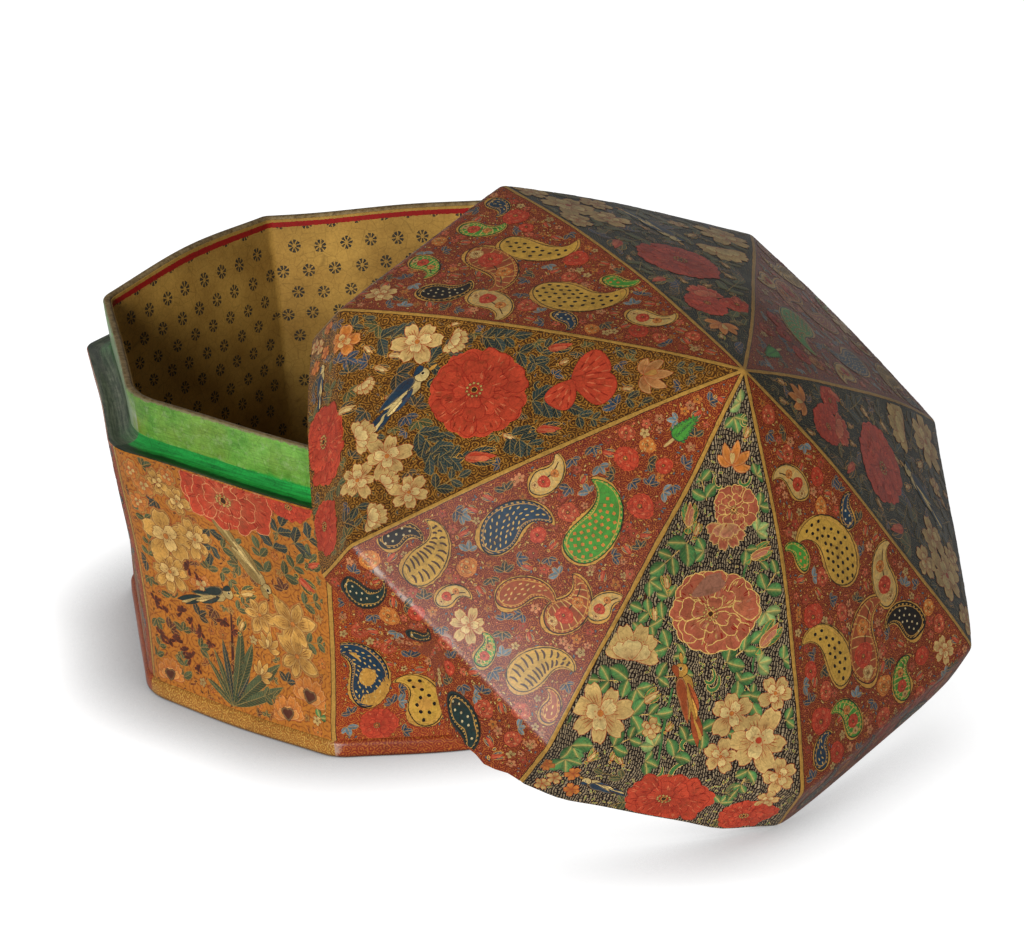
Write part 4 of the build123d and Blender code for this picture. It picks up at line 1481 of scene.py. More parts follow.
def gilded_border(add, panel_border, colour, band, line="#2A1710"):
    """Shell-gold band along each arris, with a dark thread inside it; its edge wavers as a brush does."""
    place = add("TexCoord", out=OBJECT_SPACE)
    waver = add("TexNoise", place, None, 160.0, 2.0, 0.5)
    waver = add("MapRange", waver, 0.3, 0.7, -0.15, 0.15)
    border = add("Math ADD", panel_border, waver)
    inside = add("Math LESS_THAN", border, band + 0.3)
    threaded = add("MixRGB", inside, colour, rgba(line))
    grain = add("TexNoise", place, None, 700.0, 3.0, 0.7)
    gold = add("MixRGB", grain, rgba("#84622C"), rgba("#CCA052"))
    inside = add("Math LESS_THAN", border, band)
    return add("MixRGB", inside, threaded, gold)


def dashed_ground(add, u, v, ground, stroke):
    """Short upright strokes in columns 1.1 mm apart and 1.9 mm high, each a little off as by hand."""
    spot = add("CombineXYZ", u, v, 0.0)
    waver = add("TexNoise", spot, None, 0.14, 2.0, 0.5)
    column = add("Math MULTIPLY", u, 0.92)
    column = add("Math ADD", add("Math MULTIPLY", waver, 4.0), column)
    column_number = add("Math FLOOR", column)
    in_column = add("Math FRACT", column)
    shift = add("TexWhiteNoise", None, column_number, noise_dimensions="1D")
    row = add("Math ADD", add("Math MULTIPLY", v, 0.53), shift)
    row_number = add("Math FLOOR", row)
    in_row = add("Math FRACT", row)
    cell = add("CombineXYZ", column_number, row_number, 0.0)
    chance = add("TexWhiteNoise", cell, noise_dimensions="2D")
    reach = add("MapRange", chance, 0.0, 1.0, 0.3, 0.46)
    middle = add("MapRange", chance, 0.0, 1.0, 0.42, 0.58)
    across = add("Math ABSOLUTE", add("Math SUBTRACT", in_column, middle))
    along = add("Math ABSOLUTE", add("Math SUBTRACT", in_row, 0.5))
    thin = add("Math LESS_THAN", across, 0.25)
    short = add("Math LESS_THAN", along, reach)
    mark = add("Math MULTIPLY", thin, short)
    strength = add("MapRange", chance, 0.0, 1.0, 0.5, 1.0)
    mark = add("Math MULTIPLY", mark, strength)
    return add("MixRGB", mark, rgba(ground), rgba(stroke))


def scrolled_ground(add, u, v, ground, stroke, size, share=0.5):
    """Small curled scrolls: rings of even width about scattered points, broken where two sets meet."""
    spot = add("CombineXYZ", u, v, 0.0)
    drift = add("TexNoise", spot, None, 0.35, 2.0, 0.5, out=1)
    moved = add("VectorMath MULTIPLY_ADD", drift, (2.0, 2.0, 0.0), spot)
    cells = add("TexVoronoi", moved, None, 1 / size, feature="F1", voronoi_dimensions="2D")
    rings = add("Math MULTIPLY", cells, 3.4)
    rings = add("Math FRACT", rings)
    mark = add("Math LESS_THAN", rings, share)
    breaks = add("TexNoise", spot, None, 0.8, 2.0, 0.6)
    mark = add("Math MULTIPLY", mark, add("MapRange", breaks, 0.35, 0.6, 0.25, 1.0))
    return add("MixRGB", mark, rgba(ground), rgba(stroke))


def panel_parts(add):
    """The side's own millimetres: u, v and the distance to the nearest arris."""
    return add("SeparateXYZ", add("Attribute", attribute_name="panel", out=1), out=None)


def wear_and_sheen_of(add):
    """The rubbed share of each point of a board, with the spots of painted sheen."""
    return add("SeparateXYZ", add("Attribute", attribute_name="touch", out=1), out=1)


def painted_ground(name, style, ground, stroke, band):
    """Ground colour of a side under spirit varnish, with its hatching and its gilded arrises."""
    material, add = new_material(name)
    u, v, border = panel_parts(add)
    if style == "dashes":
        colour = dashed_ground(add, u, v, ground, stroke)
    else:
        size, share = {"scrolls": (3.6, 0.5), "threads": (2.6, 0.36), "wash": (7.0, 0.3)}[style]
        colour = scrolled_ground(add, u, v, ground, stroke, size, share)
    colour = gilded_border(add, border, colour, band)
    varnish(add, colour, wear_and_sheen=wear_and_sheen_of(add))
    return material


def brush_paint():
    """Body colour laid by brush: pigment per patch, streaks along it, a darker foot, ink or gold outline."""
    material, add = new_material("brushed_pigment_varnished")
    paint = add("Attribute", attribute_name="paint")
    length = add("Attribute", attribute_name="paint", out=3)
    line = add("Attribute", attribute_name="line")
    line_width = add("Attribute", attribute_name="line", out=3)
    stroke = add("Attribute", attribute_name="stroke", out=1)
    edge, along, across = add("SeparateXYZ", stroke, out=None)
    touch = add("Attribute", attribute_name="touch", out=1)
    shade, vein, _ = add("SeparateXYZ", touch, out=None)
    place = add("TexCoord", out=OBJECT_SPACE)
    # streaks: fine across the stroke, long along it
    streak_at = add("CombineXYZ", add("Math MULTIPLY", along, 0.35), across, length)
    streak = add("TexNoise", streak_at, None, 1.9, 2.0, 0.6)
    share = add("Math DIVIDE", along, length)
    foot = add("MapRange", share, 0.0, 0.75, 1.0, 0.0)
    foot = add("Math MULTIPLY", foot, shade)
    # a petal flushes towards its line colour at the foot, and other strokes darken there
    petal = add("Math LESS_THAN", vein, 0.0)
    flush = add("Math MULTIPLY", add("Math MULTIPLY", foot, petal), 0.6)
    tip = add("MapRange", add("Math SUBTRACT", foot, flush), 0.0, 1.0, 1.08, 0.55)
    brushed = add("VectorMath SCALE", paint, None, None, tip)
    flush = add("Math MULTIPLY", flush, add("MapRange", vein, -0.9, -0.6, 1.0, 0.55))
    brushed = add("MixRGB", flush, brushed, line)
    lit = add("Math MULTIPLY", add("MapRange", edge, 0.25, 1.2, 0.3, 0.0), petal)
    lit = add("Math MULTIPLY", add("MapRange", length, 3.5, 7.0, 0.0, 1.0), lit)
    pale = add("MapRange", vein, -0.9, -0.6, 1.0, 0.0)
    brushed = add("MixRGB", add("Math MULTIPLY", lit, pale), brushed, rgba("#F2D89C"))
    mottle = add("TexNoise", place, None, 170.0, 4.0, 0.65)
    streaks = add("Math MULTIPLY", add("MapRange", streak, 0.32, 0.68, 0.88, 1.1),
                  add("MapRange", mottle, 0.3, 0.7, 0.84, 1.14))
    brushed = add("VectorMath SCALE", brushed, None, None, streaks)
    # paint rubbed thin shows the brown beneath
    thin = add("TexNoise", place, None, 320.0, 5.0, 0.7)
    thin = add("MapRange", thin, 0.52, 0.72, 0.0, 0.5)
    brushed = add("MixRGB", thin, brushed, rgba("#5E3A1C"))
    # petal veins: hair lines where the streaks are narrowest
    ridge = add("Math FRACT", add("Math MULTIPLY", streak, 9.0))
    hair = add("Math LESS_THAN", ridge, 0.2)
    hair = add("Math MULTIPLY", hair, petal)
    hair = add("Math MULTIPLY", hair, add("Math MULTIPLY", foot, 0.8))
    brushed = add("MixRGB", hair, brushed, line)
    # leaf veins: a middle rib and slanting side ribs
    off = add("Math ABSOLUTE", across)
    rib = add("Math LESS_THAN", off, 0.15)
    slant = add("Math SUBTRACT", add("Math MULTIPLY", off, 1.1), along)
    side = add("Math FRACT", add("Math MULTIPLY", slant, 0.62))
    side = add("Math LESS_THAN", side, 0.2)
    bright = add("Math GREATER_THAN", vein, 0.95)
    side = add("Math MULTIPLY", side, add("MapRange", bright, 0.0, 1.0, 0.45, 0.12))
    ribs = add("Math MAXIMUM", rib, side)
    leaf = add("Math ABSOLUTE", add("Math SUBTRACT", vein, 0.9))
    leaf = add("Math LESS_THAN", leaf, 0.6)
    # one half of a leaf catches a lighter tone
    half = add("Math MULTIPLY", add("Math GREATER_THAN", across, 0.0), leaf)
    brushed = add("VectorMath SCALE", brushed, None, None, add("MapRange", half, 0.0, 1.0, 0.82, 1.25))
    glow = add("Math MULTIPLY", add("MapRange", off, 0.1, 1.1, 0.3, 0.0), bright)
    ribs = add("Math MAXIMUM", add("Math MULTIPLY", ribs, 0.7), glow)
    ribs = add("Math MULTIPLY", ribs, leaf)
    brushed = add("MixRGB", ribs, brushed, line)
    shadow = add("Math MULTIPLY", add("MapRange", edge, 0.0, 1.0, 0.5, 0.0), bright)
    brushed = add("MixRGB", shadow, brushed, rgba("#16302A"))
    waver = add("TexNoise", place, None, 650.0, 2.0, 0.5)
    waver = add("MapRange", waver, 0.3, 0.7, 0.7, 1.25)
    rim = add("Math MULTIPLY", line_width, waver)
    rim = add("Math LESS_THAN", edge, rim)
    brushed = add("MixRGB", rim, brushed, line)
    # a gold thread and a beaded band inside the rim of a large drop
    large = add("Math GREATER_THAN", vein, 2.0)
    thread = add("Math ABSOLUTE", add("Math SUBTRACT", edge, 1.75))
    thread = add("Math LESS_THAN", thread, 0.2)
    beads = add("Math FRACT", add("Math MULTIPLY", along, 0.62))
    beads = add("Math LESS_THAN", beads, 0.45)
    band = add("Math ABSOLUTE", add("Math SUBTRACT", edge, 1.05))
    band = add("Math LESS_THAN", band, 0.3)
    thread = add("Math MAXIMUM", add("Math MULTIPLY", beads, band), thread)
    thread = add("Math MULTIPLY", add("Math MULTIPLY", thread, large), 0.8)
    brushed = add("MixRGB", thread, brushed, rgba("#D0A050"))
    varnish(add, brushed, roughness=0.36)
    return material


def pasteboard():
    """Bare pasteboard: layers of rag paper and glue, brown and matt, with fibres."""
    material, add = new_material("bare_pasteboard")
    place = add("TexCoord", out=OBJECT_SPACE)
    fibre = add("TexNoise", place, None, 300.0, 5.0, 0.7)
    colour = add("MixRGB", fibre, rgba("#5E4228"), rgba("#A58358"))
    varnish(add, colour, roughness=0.7, coat=0.0, grain=0.6)
    return material


def ledge_paint():
    """Ledge under the lid's rim: green paint, darkened outside as a painted shadow line, bright verdigris in
    the cove that is partly a painted reflection of the collar, dusty where worn.
    """
    material, add = new_material("verdigris_ledge_varnished")
    u, v, _ = panel_parts(add)
    place = add("TexCoord", out=OBJECT_SPACE)
    blot = add("TexNoise", place, None, 90.0, 4.0, 0.6)
    inwards = add("Math ADD", v, -LEDGE_HEIGHT)
    inwards = add("Math ADD", inwards, add("MapRange", blot, 0.3, 0.7, -0.9, 0.9))
    # over the green paint, the dark outer part is a painted shadow line and the bright cove is partly a
    # painted reflection of the collar's green
    green = add("MapRange", inwards, 4.6, 6.0, 0.0, 1.0)
    dusty = add("MapRange", wear_and_sheen_of(add), 0.45, 0.9, 1.0, 0.12)
    green = add("Math MULTIPLY", green, dusty)
    colour = add("MixRGB", green, rgba("#122A16"), rgba("#1C9240"))
    lay = add("CombineXYZ", add("Math MULTIPLY", u, 0.07), v, 0.0)
    stroke = add("TexNoise", lay, None, 0.9, 4.0, 0.7)
    colour = add("VectorMath SCALE", colour, None, None, add("MapRange", stroke, 0.3, 0.7, 0.5, 1.4))
    dust = add("TexNoise", place, None, 240.0, 5.0, 0.7)
    dust = add("Math MULTIPLY", add("MapRange", dust, 0.3, 0.7, 0.45, 1.0), wear_and_sheen_of(add))
    outside = add("MapRange", inwards, 8.5, 12.5, 1.0, 0.5)
    dust = add("Math MULTIPLY", dust, outside)
    fluff = add("MixRGB", add("MapRange", stroke, 0.38, 0.62, 0.0, 1.0), rgba("#3C443C"), rgba("#7C8276"))
    colour = add("MixRGB", dust, colour, fluff)
    varnish(add, colour, roughness=0.4, coat=0.3)
    return material


def collar_paint():
    """Green collar: verdigris in size, bright emerald near its foot that is partly a painted sheen, yellowed
    at the corners, dirty at the rim.
    """
    material, add = new_material("verdigris_collar_varnished")
    u, v, border = panel_parts(add)
    place = add("TexCoord", out=OBJECT_SPACE)
    blot = add("TexNoise", place, None, 70.0, 5.0, 0.65)
    colour = add("MixRGB", add("MapRange", blot, 0.3, 0.7, 0.0, 1.0), rgba("#4C8E34"), rgba("#86C05A"))
    stain = add("TexNoise", place, None, 26.0, 4.0, 0.6)
    stain = add("MapRange", stain, 0.5, 0.68, 0.0, 0.55)
    colour = add("MixRGB", stain, colour, rgba("#7C8A3A"))
    brush = add("CombineXYZ", add("Math MULTIPLY", u, 0.08), v, 0.0)
    streak = add("TexNoise", brush, None, 1.2, 4.0, 0.7)
    streak = add("MapRange", streak, 0.3, 0.7, 0.68, 1.18)
    colour = add("VectorMath SCALE", colour, None, None, streak)
    # the bright emerald band at the foot is partly a painted sheen, as in the ledge's cove
    foot = add("Math ADD", v, add("MapRange", blot, 0.3, 0.7, -1.5, 1.5))
    low = add("MapRange", foot, LEDGE_HEIGHT + 2.6, LEDGE_HEIGHT + 4.0, 0.9, 0.0)
    colour = add("MixRGB", low, colour, rgba("#1E9E40"))
    corner = add("MapRange", border, 0.5, 13.0, 0.8, 0.0)
    corner = add("Math MULTIPLY", corner, add("MapRange", blot, 0.4, 0.6, 0.3, 1.0))
    colour = add("MixRGB", corner, colour, rgba("#7F8B2E"))
    scuff = add("TexNoise", place, None, 300.0, 5.0, 0.75)
    chalk = add("MapRange", scuff, 0.52, 0.72, 0.0, 0.6)
    colour = add("MixRGB", chalk, colour, rgba("#9DB88A"))
    rim = add("MapRange", v, RIM_HEIGHT - 1.6, RIM_HEIGHT + 0.2, 0.0, 0.6)
    rim = add("Math GREATER_THAN", add("Math ADD", scuff, rim), 0.8)
    colour = add("MixRGB", add("Math MULTIPLY", rim, 0.85), colour, rgba("#7E7462"))
    varnish(add, colour, roughness=0.36, coat=0.25, wear_and_sheen=wear_and_sheen_of(add), worn_and_sheen_colour="#A8AFA0")
    return material


ROSETTE_COLUMNS, ROSETTE_ROWS = 11.8, 10.3  # spacing of the printed rosettes across and down
ROSETTE_RING = 1.85  # radius of a rosette's ring of petals
RULE_DROP = 3.3  # how far the red rule lies under the rim


def lining_paper():
    """Block-printed lining paper: ochre, staggered rows of black rosettes, a red rule below the rim, and
    painted shade that darkens it lower down.
    """
    material, add = new_material("block_printed_paper")
    u, v, border = panel_parts(add)
    place = add("TexCoord", out=OBJECT_SPACE)
    soil = add("TexNoise", place, None, 30.0, 5.0, 0.65)
    colour = add("MixRGB", add("MapRange", soil, 0.32, 0.68, 0.0, 1.0), rgba("#9A7638"), rgba("#C09A50"))
    # painted shade: the paper darkens to 0.62 of its colour towards low v, deep in the box
    depth = add("MapRange", v, 25.0, 125.0, 0.62, 1.0)
    colour = add("VectorMath SCALE", colour, None, None, depth)
    row = add("Math MULTIPLY", add("Math ADD", v, 1.9), 1 / ROSETTE_ROWS)
    row_number = add("Math FLOOR", row)
    odd = add("Math MULTIPLY", add("Math FLOORED_MODULO", row_number, 2.0), 0.5)
    column = add("Math ADD", add("Math MULTIPLY", u, 1 / ROSETTE_COLUMNS), odd)
    column_number = add("Math FLOOR", column)
    cell = add("CombineXYZ", column_number, row_number, 0.0)
    slip = add("TexWhiteNoise", cell, noise_dimensions="2D", out=1)
    slip_u, slip_v, slip_turn = add("SeparateXYZ", slip, out=None)
    x = add("Math SUBTRACT", add("Math FRACT", column), 0.5)
    x = add("Math ADD", add("Math MULTIPLY", x, ROSETTE_COLUMNS),
            add("MapRange", slip_u, 0.0, 1.0, -0.6, 0.6))
    y = add("Math SUBTRACT", add("Math FRACT", row), 0.5)
    y = add("Math ADD", add("Math MULTIPLY", y, ROSETTE_ROWS),
            add("MapRange", slip_v, 0.0, 1.0, -0.6, 0.6))
    radius = add("Math ADD", add("Math MULTIPLY", x, x),
                 add("Math MULTIPLY", y, y))
    radius = add("Math SQRT", radius)
    angle = add("Math ARCTAN2", y, x)
    turn = add("Math ADD", add("Math MULTIPLY", slip_turn, 6.28), angle)
    petal = add("Math SINE", add("Math MULTIPLY", turn, 8.0))
    ragged = add("TexNoise", place, None, 900.0, 2.0, 0.6)
    petal = add("Math ADD", petal, add("MapRange", ragged, 0.3, 0.7, -0.5, 0.5))
    petal = add("Math GREATER_THAN", petal, -0.45)
    ring = add("Math ABSOLUTE", add("Math SUBTRACT", radius, ROSETTE_RING))
    ring = add("Math LESS_THAN", ring, add("MapRange", ragged, 0.3, 0.7, 0.75, 1.15))
    mark = add("Math MULTIPLY", petal, ring)
    # a rosette is whole or left out where two walls meet
    half = add("Math ADD", add("Math ABSOLUTE", u), border)
    middle = add("Math ABSOLUTE", add("Math SUBTRACT", u, x))
    whole = add("Math GREATER_THAN", add("Math SUBTRACT", half, middle), 2.7)
    mark = add("Math MULTIPLY", mark, whole)
    below = add("Math LESS_THAN", v, RIM_HEIGHT - 2.4)
    mark = add("Math MULTIPLY", mark, below)
    mark = add("Math MULTIPLY", mark, add("MapRange", ragged, 0.3, 0.6, 0.75, 0.98))
    colour = add("MixRGB", mark, colour, rgba("#22272A"))
    rule = add("Math ABSOLUTE", add("Math SUBTRACT", v, RIM_HEIGHT - RULE_DROP))
    rule = add("Math LESS_THAN", rule, add("MapRange", ragged, 0.3, 0.7, 0.9, 1.2))
    colour = add("MixRGB", rule, colour, rgba("#961A18"))
    rim = add("MapRange", v, RIM_HEIGHT - 1.0, RIM_HEIGHT - 0.5, 0.0, 1.0)
    chips = add("TexNoise", place, None, 380.0, 5.0, 0.75)
    worn_rim = add("MixRGB", add("MapRange", chips, 0.35, 0.65, 0.0, 1.0), rgba("#4A3A26"), rgba("#94866A"))
    colour = add("MixRGB", add("Math MULTIPLY", rim, 0.85), colour, worn_rim)
    varnish(add, colour, roughness=0.58, coat=0.08, grain=0.25)
    return material


def band_paint(name, ground, scribble):
    """Foot band: gold scribble on coloured varnish, painted shade along its underside, a dark line at its top
    where it meets the wall, and pale worn corners.
    """
    material, add = new_material(name)
    u, v, _ = panel_parts(add)
    colour = scrolled_ground(add, u, v, ground, scribble, 3.4, 0.45)
    # painted shade darkens the underside where the band meets the table; the dark line along the top is where
    # it meets the wall
    low = add("MapRange", v, 0.6, 1.8, 0.75, 0.0)
    low = add("Math MAXIMUM", low, add("MapRange", v, BAND_HEIGHT - 0.5, BAND_HEIGHT + 0.5, 0.0, 0.6))
    colour = add("MixRGB", low, colour, rgba("#2E1C12"))
    varnish(add, colour, wear_and_sheen=wear_and_sheen_of(add))
    return material


MATERIALS = {}


def mix_paints():
    """Every finish of the box, made once."""
    if MATERIALS:
        return MATERIALS
    settings = bpy.context.scene.papier_box
    band, wall_band = settings.gold_band / MM, settings.body_band / MM
    MATERIALS.update(
        pigment=brush_paint(),
        black=painted_ground("lamp_black_dashed_ground", "dashes", "#1C1412", "#A0907A", band),
        green=painted_ground("verdigris_black_dashed_ground", "dashes", "#141612", "#5E5A40", band),
        brown=painted_ground("gold_scrolled_brown_ground", "scrolls", "#46290F", "#A4742E", band),
        red=painted_ground("red_earth_ground", "threads", "#6E2317", "#B0662C", band),
        ochre=painted_ground("ochre_gold_ground", "wash", "#B4722C", "#86491E", wall_band),
        body_red=painted_ground("red_earth_body_ground", "threads", "#8A2F1C", "#C0742E", wall_band),
        board=pasteboard(),
        ledge=ledge_paint(),
        collar=collar_paint(),
        lining=lining_paper(),
        band=band_paint("gilt_scribbled_ochre_band", "#96622A", "#C29A50"),
        red_band=band_paint("gilt_scribbled_red_band", "#84321F", "#B0662E"),
    )
    return MATERIALS


# --- Pieces --------------------------------------------------------------------------------------------


def even_columns(count):
    """Evenly spaced columns, closer at both ends where the gilded band lies."""
    t = np.linspace(-1, 1, count)
    return np.sign(t) * (1 - (1 - np.abs(t)) ** 1.15)


def gore_map(top, widest):
    """Places a gore's painted face over the whole map, and its hidden faces in a corner that stays free."""

    def bake(panel):
        u, v = panel[:, 0], panel[:, 1]
        face = np.stack([0.5 + u / (2 * widest), 0.015 + 0.97 * v / top], axis=1)
        hidden = np.stack([0.02 + 0.1 * (u + widest) / (2 * widest), 0.86 + 0.12 * (-v - 1) / top], axis=1)
        return np.clip(np.where((v < -0.5)[:, None], hidden, face), 0, 1)

    return bake


def rib_corners(section):
    """Corner radii of a gore's rows: soft at the skirt, crisper along the ribs."""
    radius = RIB_CORNER + (SKIRT_CORNER - RIB_CORNER) * np.clip(1.4 - section[:, 1] / SKIRT_HEIGHT, 0, 1)
    return np.repeat(radius[:, None], 2, axis=1)


LID_GROUNDS = ("green", "red", "green", "red", "brown", "red", "black", "red")
GILT_GORE, GREEN_GORE = 4, 6
# Bouquets of the other flower gores, as (roses, leaves, bird's back, its belly, mirrored, looseness)
BOUQUETS = {
    0: ("bright", "teal", "indigo", "cream_light", -1.0, 1.6),
    2: ("bright", "dark", "indigo", "cream_light", 1.0, 1.6),
    GREEN_GORE: ("dusky", "green", "brick", "gold", 1.0, 0.4),
}


def lid_panel(side):
    """One gore: painted face, board behind it and its painting."""
    paints = mix_paints()
    outer, inner = lid_section(0.0), lid_section(LID_WALL)
    run = lengths(outer)
    rows = np.concatenate([np.linspace(0, 18, 10), np.linspace(19, 31, 17), np.linspace(33, run[-1], 48)])
    inner_run = lengths(inner)
    back_rows = np.linspace(inner_run[-1], 0, 40)
    face, back = between(run, outer, rows), between(inner_run, inner, back_rows)
    face[-1, 0] = back[0, 0] = 0
    section = np.concatenate([face, back])
    heights = np.concatenate([rows, -1 - back_rows])
    slots = np.concatenate([np.zeros(len(face) - 1), np.full(len(back) + 1, 2)])
    sheet = Sheet()
    slab(sheet, section, heights, side, place_lid, even_columns(22), rib_corners(section), slots)
    surface = Surface(outer, 0.0, side, place_lid, rib_corners(outer))
    brush = Brush(sheet, surface, 0.6, run[-1] - 2.5, 2.2, 1, 100 + side)
    if side % 2:
        red_garden(brush, GARDEN_GROVE if side in (1, 5) else GARDEN_SPOTTED, SKIRT_PODS)
    else:
        if side == GILT_GORE:
            gilt_bouquet(brush)
        else:
            crown_bouquet(brush, *BOUQUETS[side])
        skirt_garland(brush, -1.0 if side == 0 else 1.0)
        fill_leaves(brush, side == GREEN_GORE)
    widest = LID_FLAT * HALF_TAN + 0.5
    finishes = [paints[LID_GROUNDS[side]], paints["pigment"], paints["board"]]
    piece = sheet.make(f"lid_panel_{side + 1}", finishes, gore_map(run[-1], widest))
    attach(piece, "lid")
    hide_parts(f"lid_gore_{side + 1}")


def fill_leaves(brush, green):
    """Leaves, buds and strokes that close the gaps of a bouquet."""
    greens = ("green", "green", "green_light") if green else ("slate", "moss", "indigo")
    line = "gold_light" if green else "cream_dark"
    trios(brush, 9.0, 9.5, greens, line, 3.4)
    trios(brush, 7.0, 6.5, greens, line, 2.2)
    u, v = brush.free_spots(8.0, 1.9)
    for fu, fv in zip(u, v):
        length, turn = brush.rng.uniform(4.0, 6.0), brush.rng.uniform(30, 150)
        bud(brush, fu, fv, length, turn, "pale", greens[0], level=2)
    if not green:
        trios(brush, 4.6, 4.0, greens, line, 1.2)
    specks(brush, 3.6, greens, 1.6, 3.0, line)


def lid_paper(side):
    """Printed paper pasted inside one gore."""
    paints = mix_paints()
    front, back = lid_section(LID_WALL), lid_section(LID_WALL + LINING)
    front_run, back_run = lengths(front), lengths(back)
    crown_rows = np.linspace(26, front_run[-1], 34)
    rows = np.concatenate([np.linspace(0, 16, 6), np.linspace(17, 24, 10), crown_rows])
    back_rows = rows[::-1] * back_run[-1] / front_run[-1]
    face, rear = between(front_run, front, rows), between(back_run, back, back_rows)
    face[-1, 0] = rear[0, 0] = 0
    sheet = Sheet()
    section = np.concatenate([face, rear])
    heights = np.concatenate([rows, back_rows])
    slots = np.zeros(len(section))
    slab(sheet, section, heights, side, place_lid, even_columns(14), rib_corners(section), slots)
    piece = sheet.make(f"lid_paper_{side + 1}", [paints["lining"]])
    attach(piece, "lid")
    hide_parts(f"lid_lining_{side + 1}")


HIDDEN_FACE = -5.0  # v of a wall's faces that nothing is painted on


def wall_map(low, high, widest):
    """Places a side's painted face over most of the map, its ledge in a strip below, the rest in a line."""

    def bake(panel):
        u, v = panel[:, 0], panel[:, 1]
        across = 0.5 + u / (2 * widest)
        up = 0.14 + 0.85 * (v - low) / (high - low)
        ledge = 0.04 + 0.06 * (v - high) / LEDGE_WIDTH
        up = np.where(v > high, ledge, up)
        up = np.where(v < low - 0.5, 0.01, up)
        return np.clip(np.stack([across, up], axis=1), 0, 1)

    return bake


def wall_panel(side):
    """One side of the body: painted face, ledge and board, with its painting."""
    paints = mix_paints()
    ochre = side % 2 == 1
    outer = wall_section()
    run = lengths(outer) + BAND_HEIGHT
    rows = np.concatenate([np.linspace(BAND_HEIGHT, run[-1] - 1.4, 30), [run[-1] - 0.6]])
    face = between(run, outer, rows)
    soft_centre = (LEDGE_FLAT - LEDGE_EDGE, LEDGE_HEIGHT - LEDGE_EDGE)
    soft = arc(soft_centre, LEDGE_EDGE, math.radians(10), math.radians(90), 5)
    flat = np.linspace(LEDGE_FLAT - 2 * LEDGE_EDGE, COLLAR_FOOT_FLAT + COVE_REACH, 7)
    ledge = np.stack([flat, LEDGE_HEIGHT - LEDGE_DISH * np.sin(np.pi * np.linspace(0, 0.6, 7))], axis=1)
    cove = arc((flat[-1], ledge[-1, 1] + COVE), COVE, math.radians(-90), math.radians(-176), 7)[1:]
    rebate = BAND_FLAT - BAND_THICKNESS
    foot_inner = COLLAR_FOOT_FLAT - LEDGE_HEIGHT * LEAN
    hidden = [(COLLAR_FOOT_FLAT - 1.0, cove[-1, 1]), (foot_inner, 0.0), (rebate, 0.0), (rebate, BAND_HEIGHT)]
    section = np.concatenate([face, soft, ledge, cove, hidden])
    ledge_run = np.concatenate([ledge, cove])
    heights = np.concatenate(
        [rows, np.linspace(run[-1] - 0.4, run[-1], 5), run[-1] + 1.0 + lengths(ledge_run), [HIDDEN_FACE] * 4]
    )
    slots = np.repeat([0, 2, 3], [len(face) + 2, 3 + len(ledge_run), 4])
    wall, collar = corners_of(side, WALL_CORNERS), corners_of(side, COLLAR_CORNERS)
    ledge_corners = wall + (collar - wall) * np.linspace(0, 1, len(ledge_run))[:, None]
    corners = np.concatenate([np.repeat([wall], len(face) + 5, 0), ledge_corners, [collar] * 2, [wall] * 2])
    sheet = Sheet()
    slab(sheet, section, heights, side, place_box, even_columns(24), corners, slots)
    surface = Surface(outer, BAND_HEIGHT, side, place_box, np.repeat([wall], len(outer), 0))
    brush = Brush(sheet, surface, BAND_HEIGHT + 0.3, run[-1] - 0.7, 3.2, 1, 200 + side)
    if ochre:
        ochre_border(brush)
    else:
        red_garden(brush, BODY_GARDEN, ())
    widest = LEDGE_FLAT * HALF_TAN + 0.5
    piece = sheet.make(
        f"wall_panel_{side + 1}",
        [paints["ochre" if ochre else "body_red"], paints["pigment"], paints["ledge"], paints["board"]],
        wall_map(BAND_HEIGHT, run[-1], widest),
    )
    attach(piece, "box")
    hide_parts(f"side_board_{side + 1}")


BODY_GARDEN = (
    (boteh, -40, 22, 38, 80, "indigo", "dashes", 1.0, 0.26),
    (boteh, -18, 12, 27, 76, "yellow", "spots", 1.0, 0.32),
    (boteh, 4, 30, 40, 92, "grass", "checks", -1.0, 0.28),
    (boteh, 30, 14, 34, 96, "yellow", "stripes", -1.0, 0.3),
    (boteh, -26, 70, 36, 78, "brick", "bands", 1.0, 0.28),
    (boteh, 8, 80, 30, 84, "cream", "bands", 1.0, 0.3),
    (boteh, 38, 62, 38, 100, "indigo", "dots", -1.0, 0.24),
    (rose, -35, 14, 7.5, "bright", 0, 9),
    (rose, 14, 20, 6.5, "bright", 0, 9),
    (rose, 24, 68, 7.0, "bright", 0, 9),
    (rose, -8, 62, 6.5, "amber", 0, 9),
)


def foot_band(side):
    """One length of the raised band round the foot, rounded over and run softly into the wall."""
    paints = mix_paints()
    inner = BAND_FLAT - BAND_THICKNESS
    shoulder = (BAND_FLAT - BAND_SHOULDER, BAND_HEIGHT - 2.6)
    section = np.concatenate(
        [
            [(inner, 0.0)],
            arc((BAND_FLAT - BAND_EDGE, BAND_EDGE), BAND_EDGE, math.radians(-90), math.radians(-10), 5),
            arc(shoulder, BAND_SHOULDER, math.radians(5), math.radians(72), 7),
            [(FOOT_FLAT + 0.02, BAND_HEIGHT + 1.6), (inner, BAND_HEIGHT + 0.5)],
        ]
    )
    sheet = Sheet()
    band, wall = corners_of(side, BAND_CORNERS), corners_of(side, WALL_CORNERS)
    corners = np.concatenate([[wall], np.repeat([band], len(section) - 3, 0), [wall] * 2])
    slab(sheet, section, section[:, 1], side, place_box, even_columns(20), corners, np.zeros(len(section)))
    piece = sheet.make(f"foot_band_{side + 1}", [paints["band" if side % 2 else "red_band"]])
    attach(piece, "box")
    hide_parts(f"foot_strip_{side + 1}")


def collar_face(height):
    """Reach of the collar's painted face at a height; the boards lean as the walls do."""
    return COLLAR_FOOT_FLAT + (height - LEDGE_HEIGHT) * LEAN


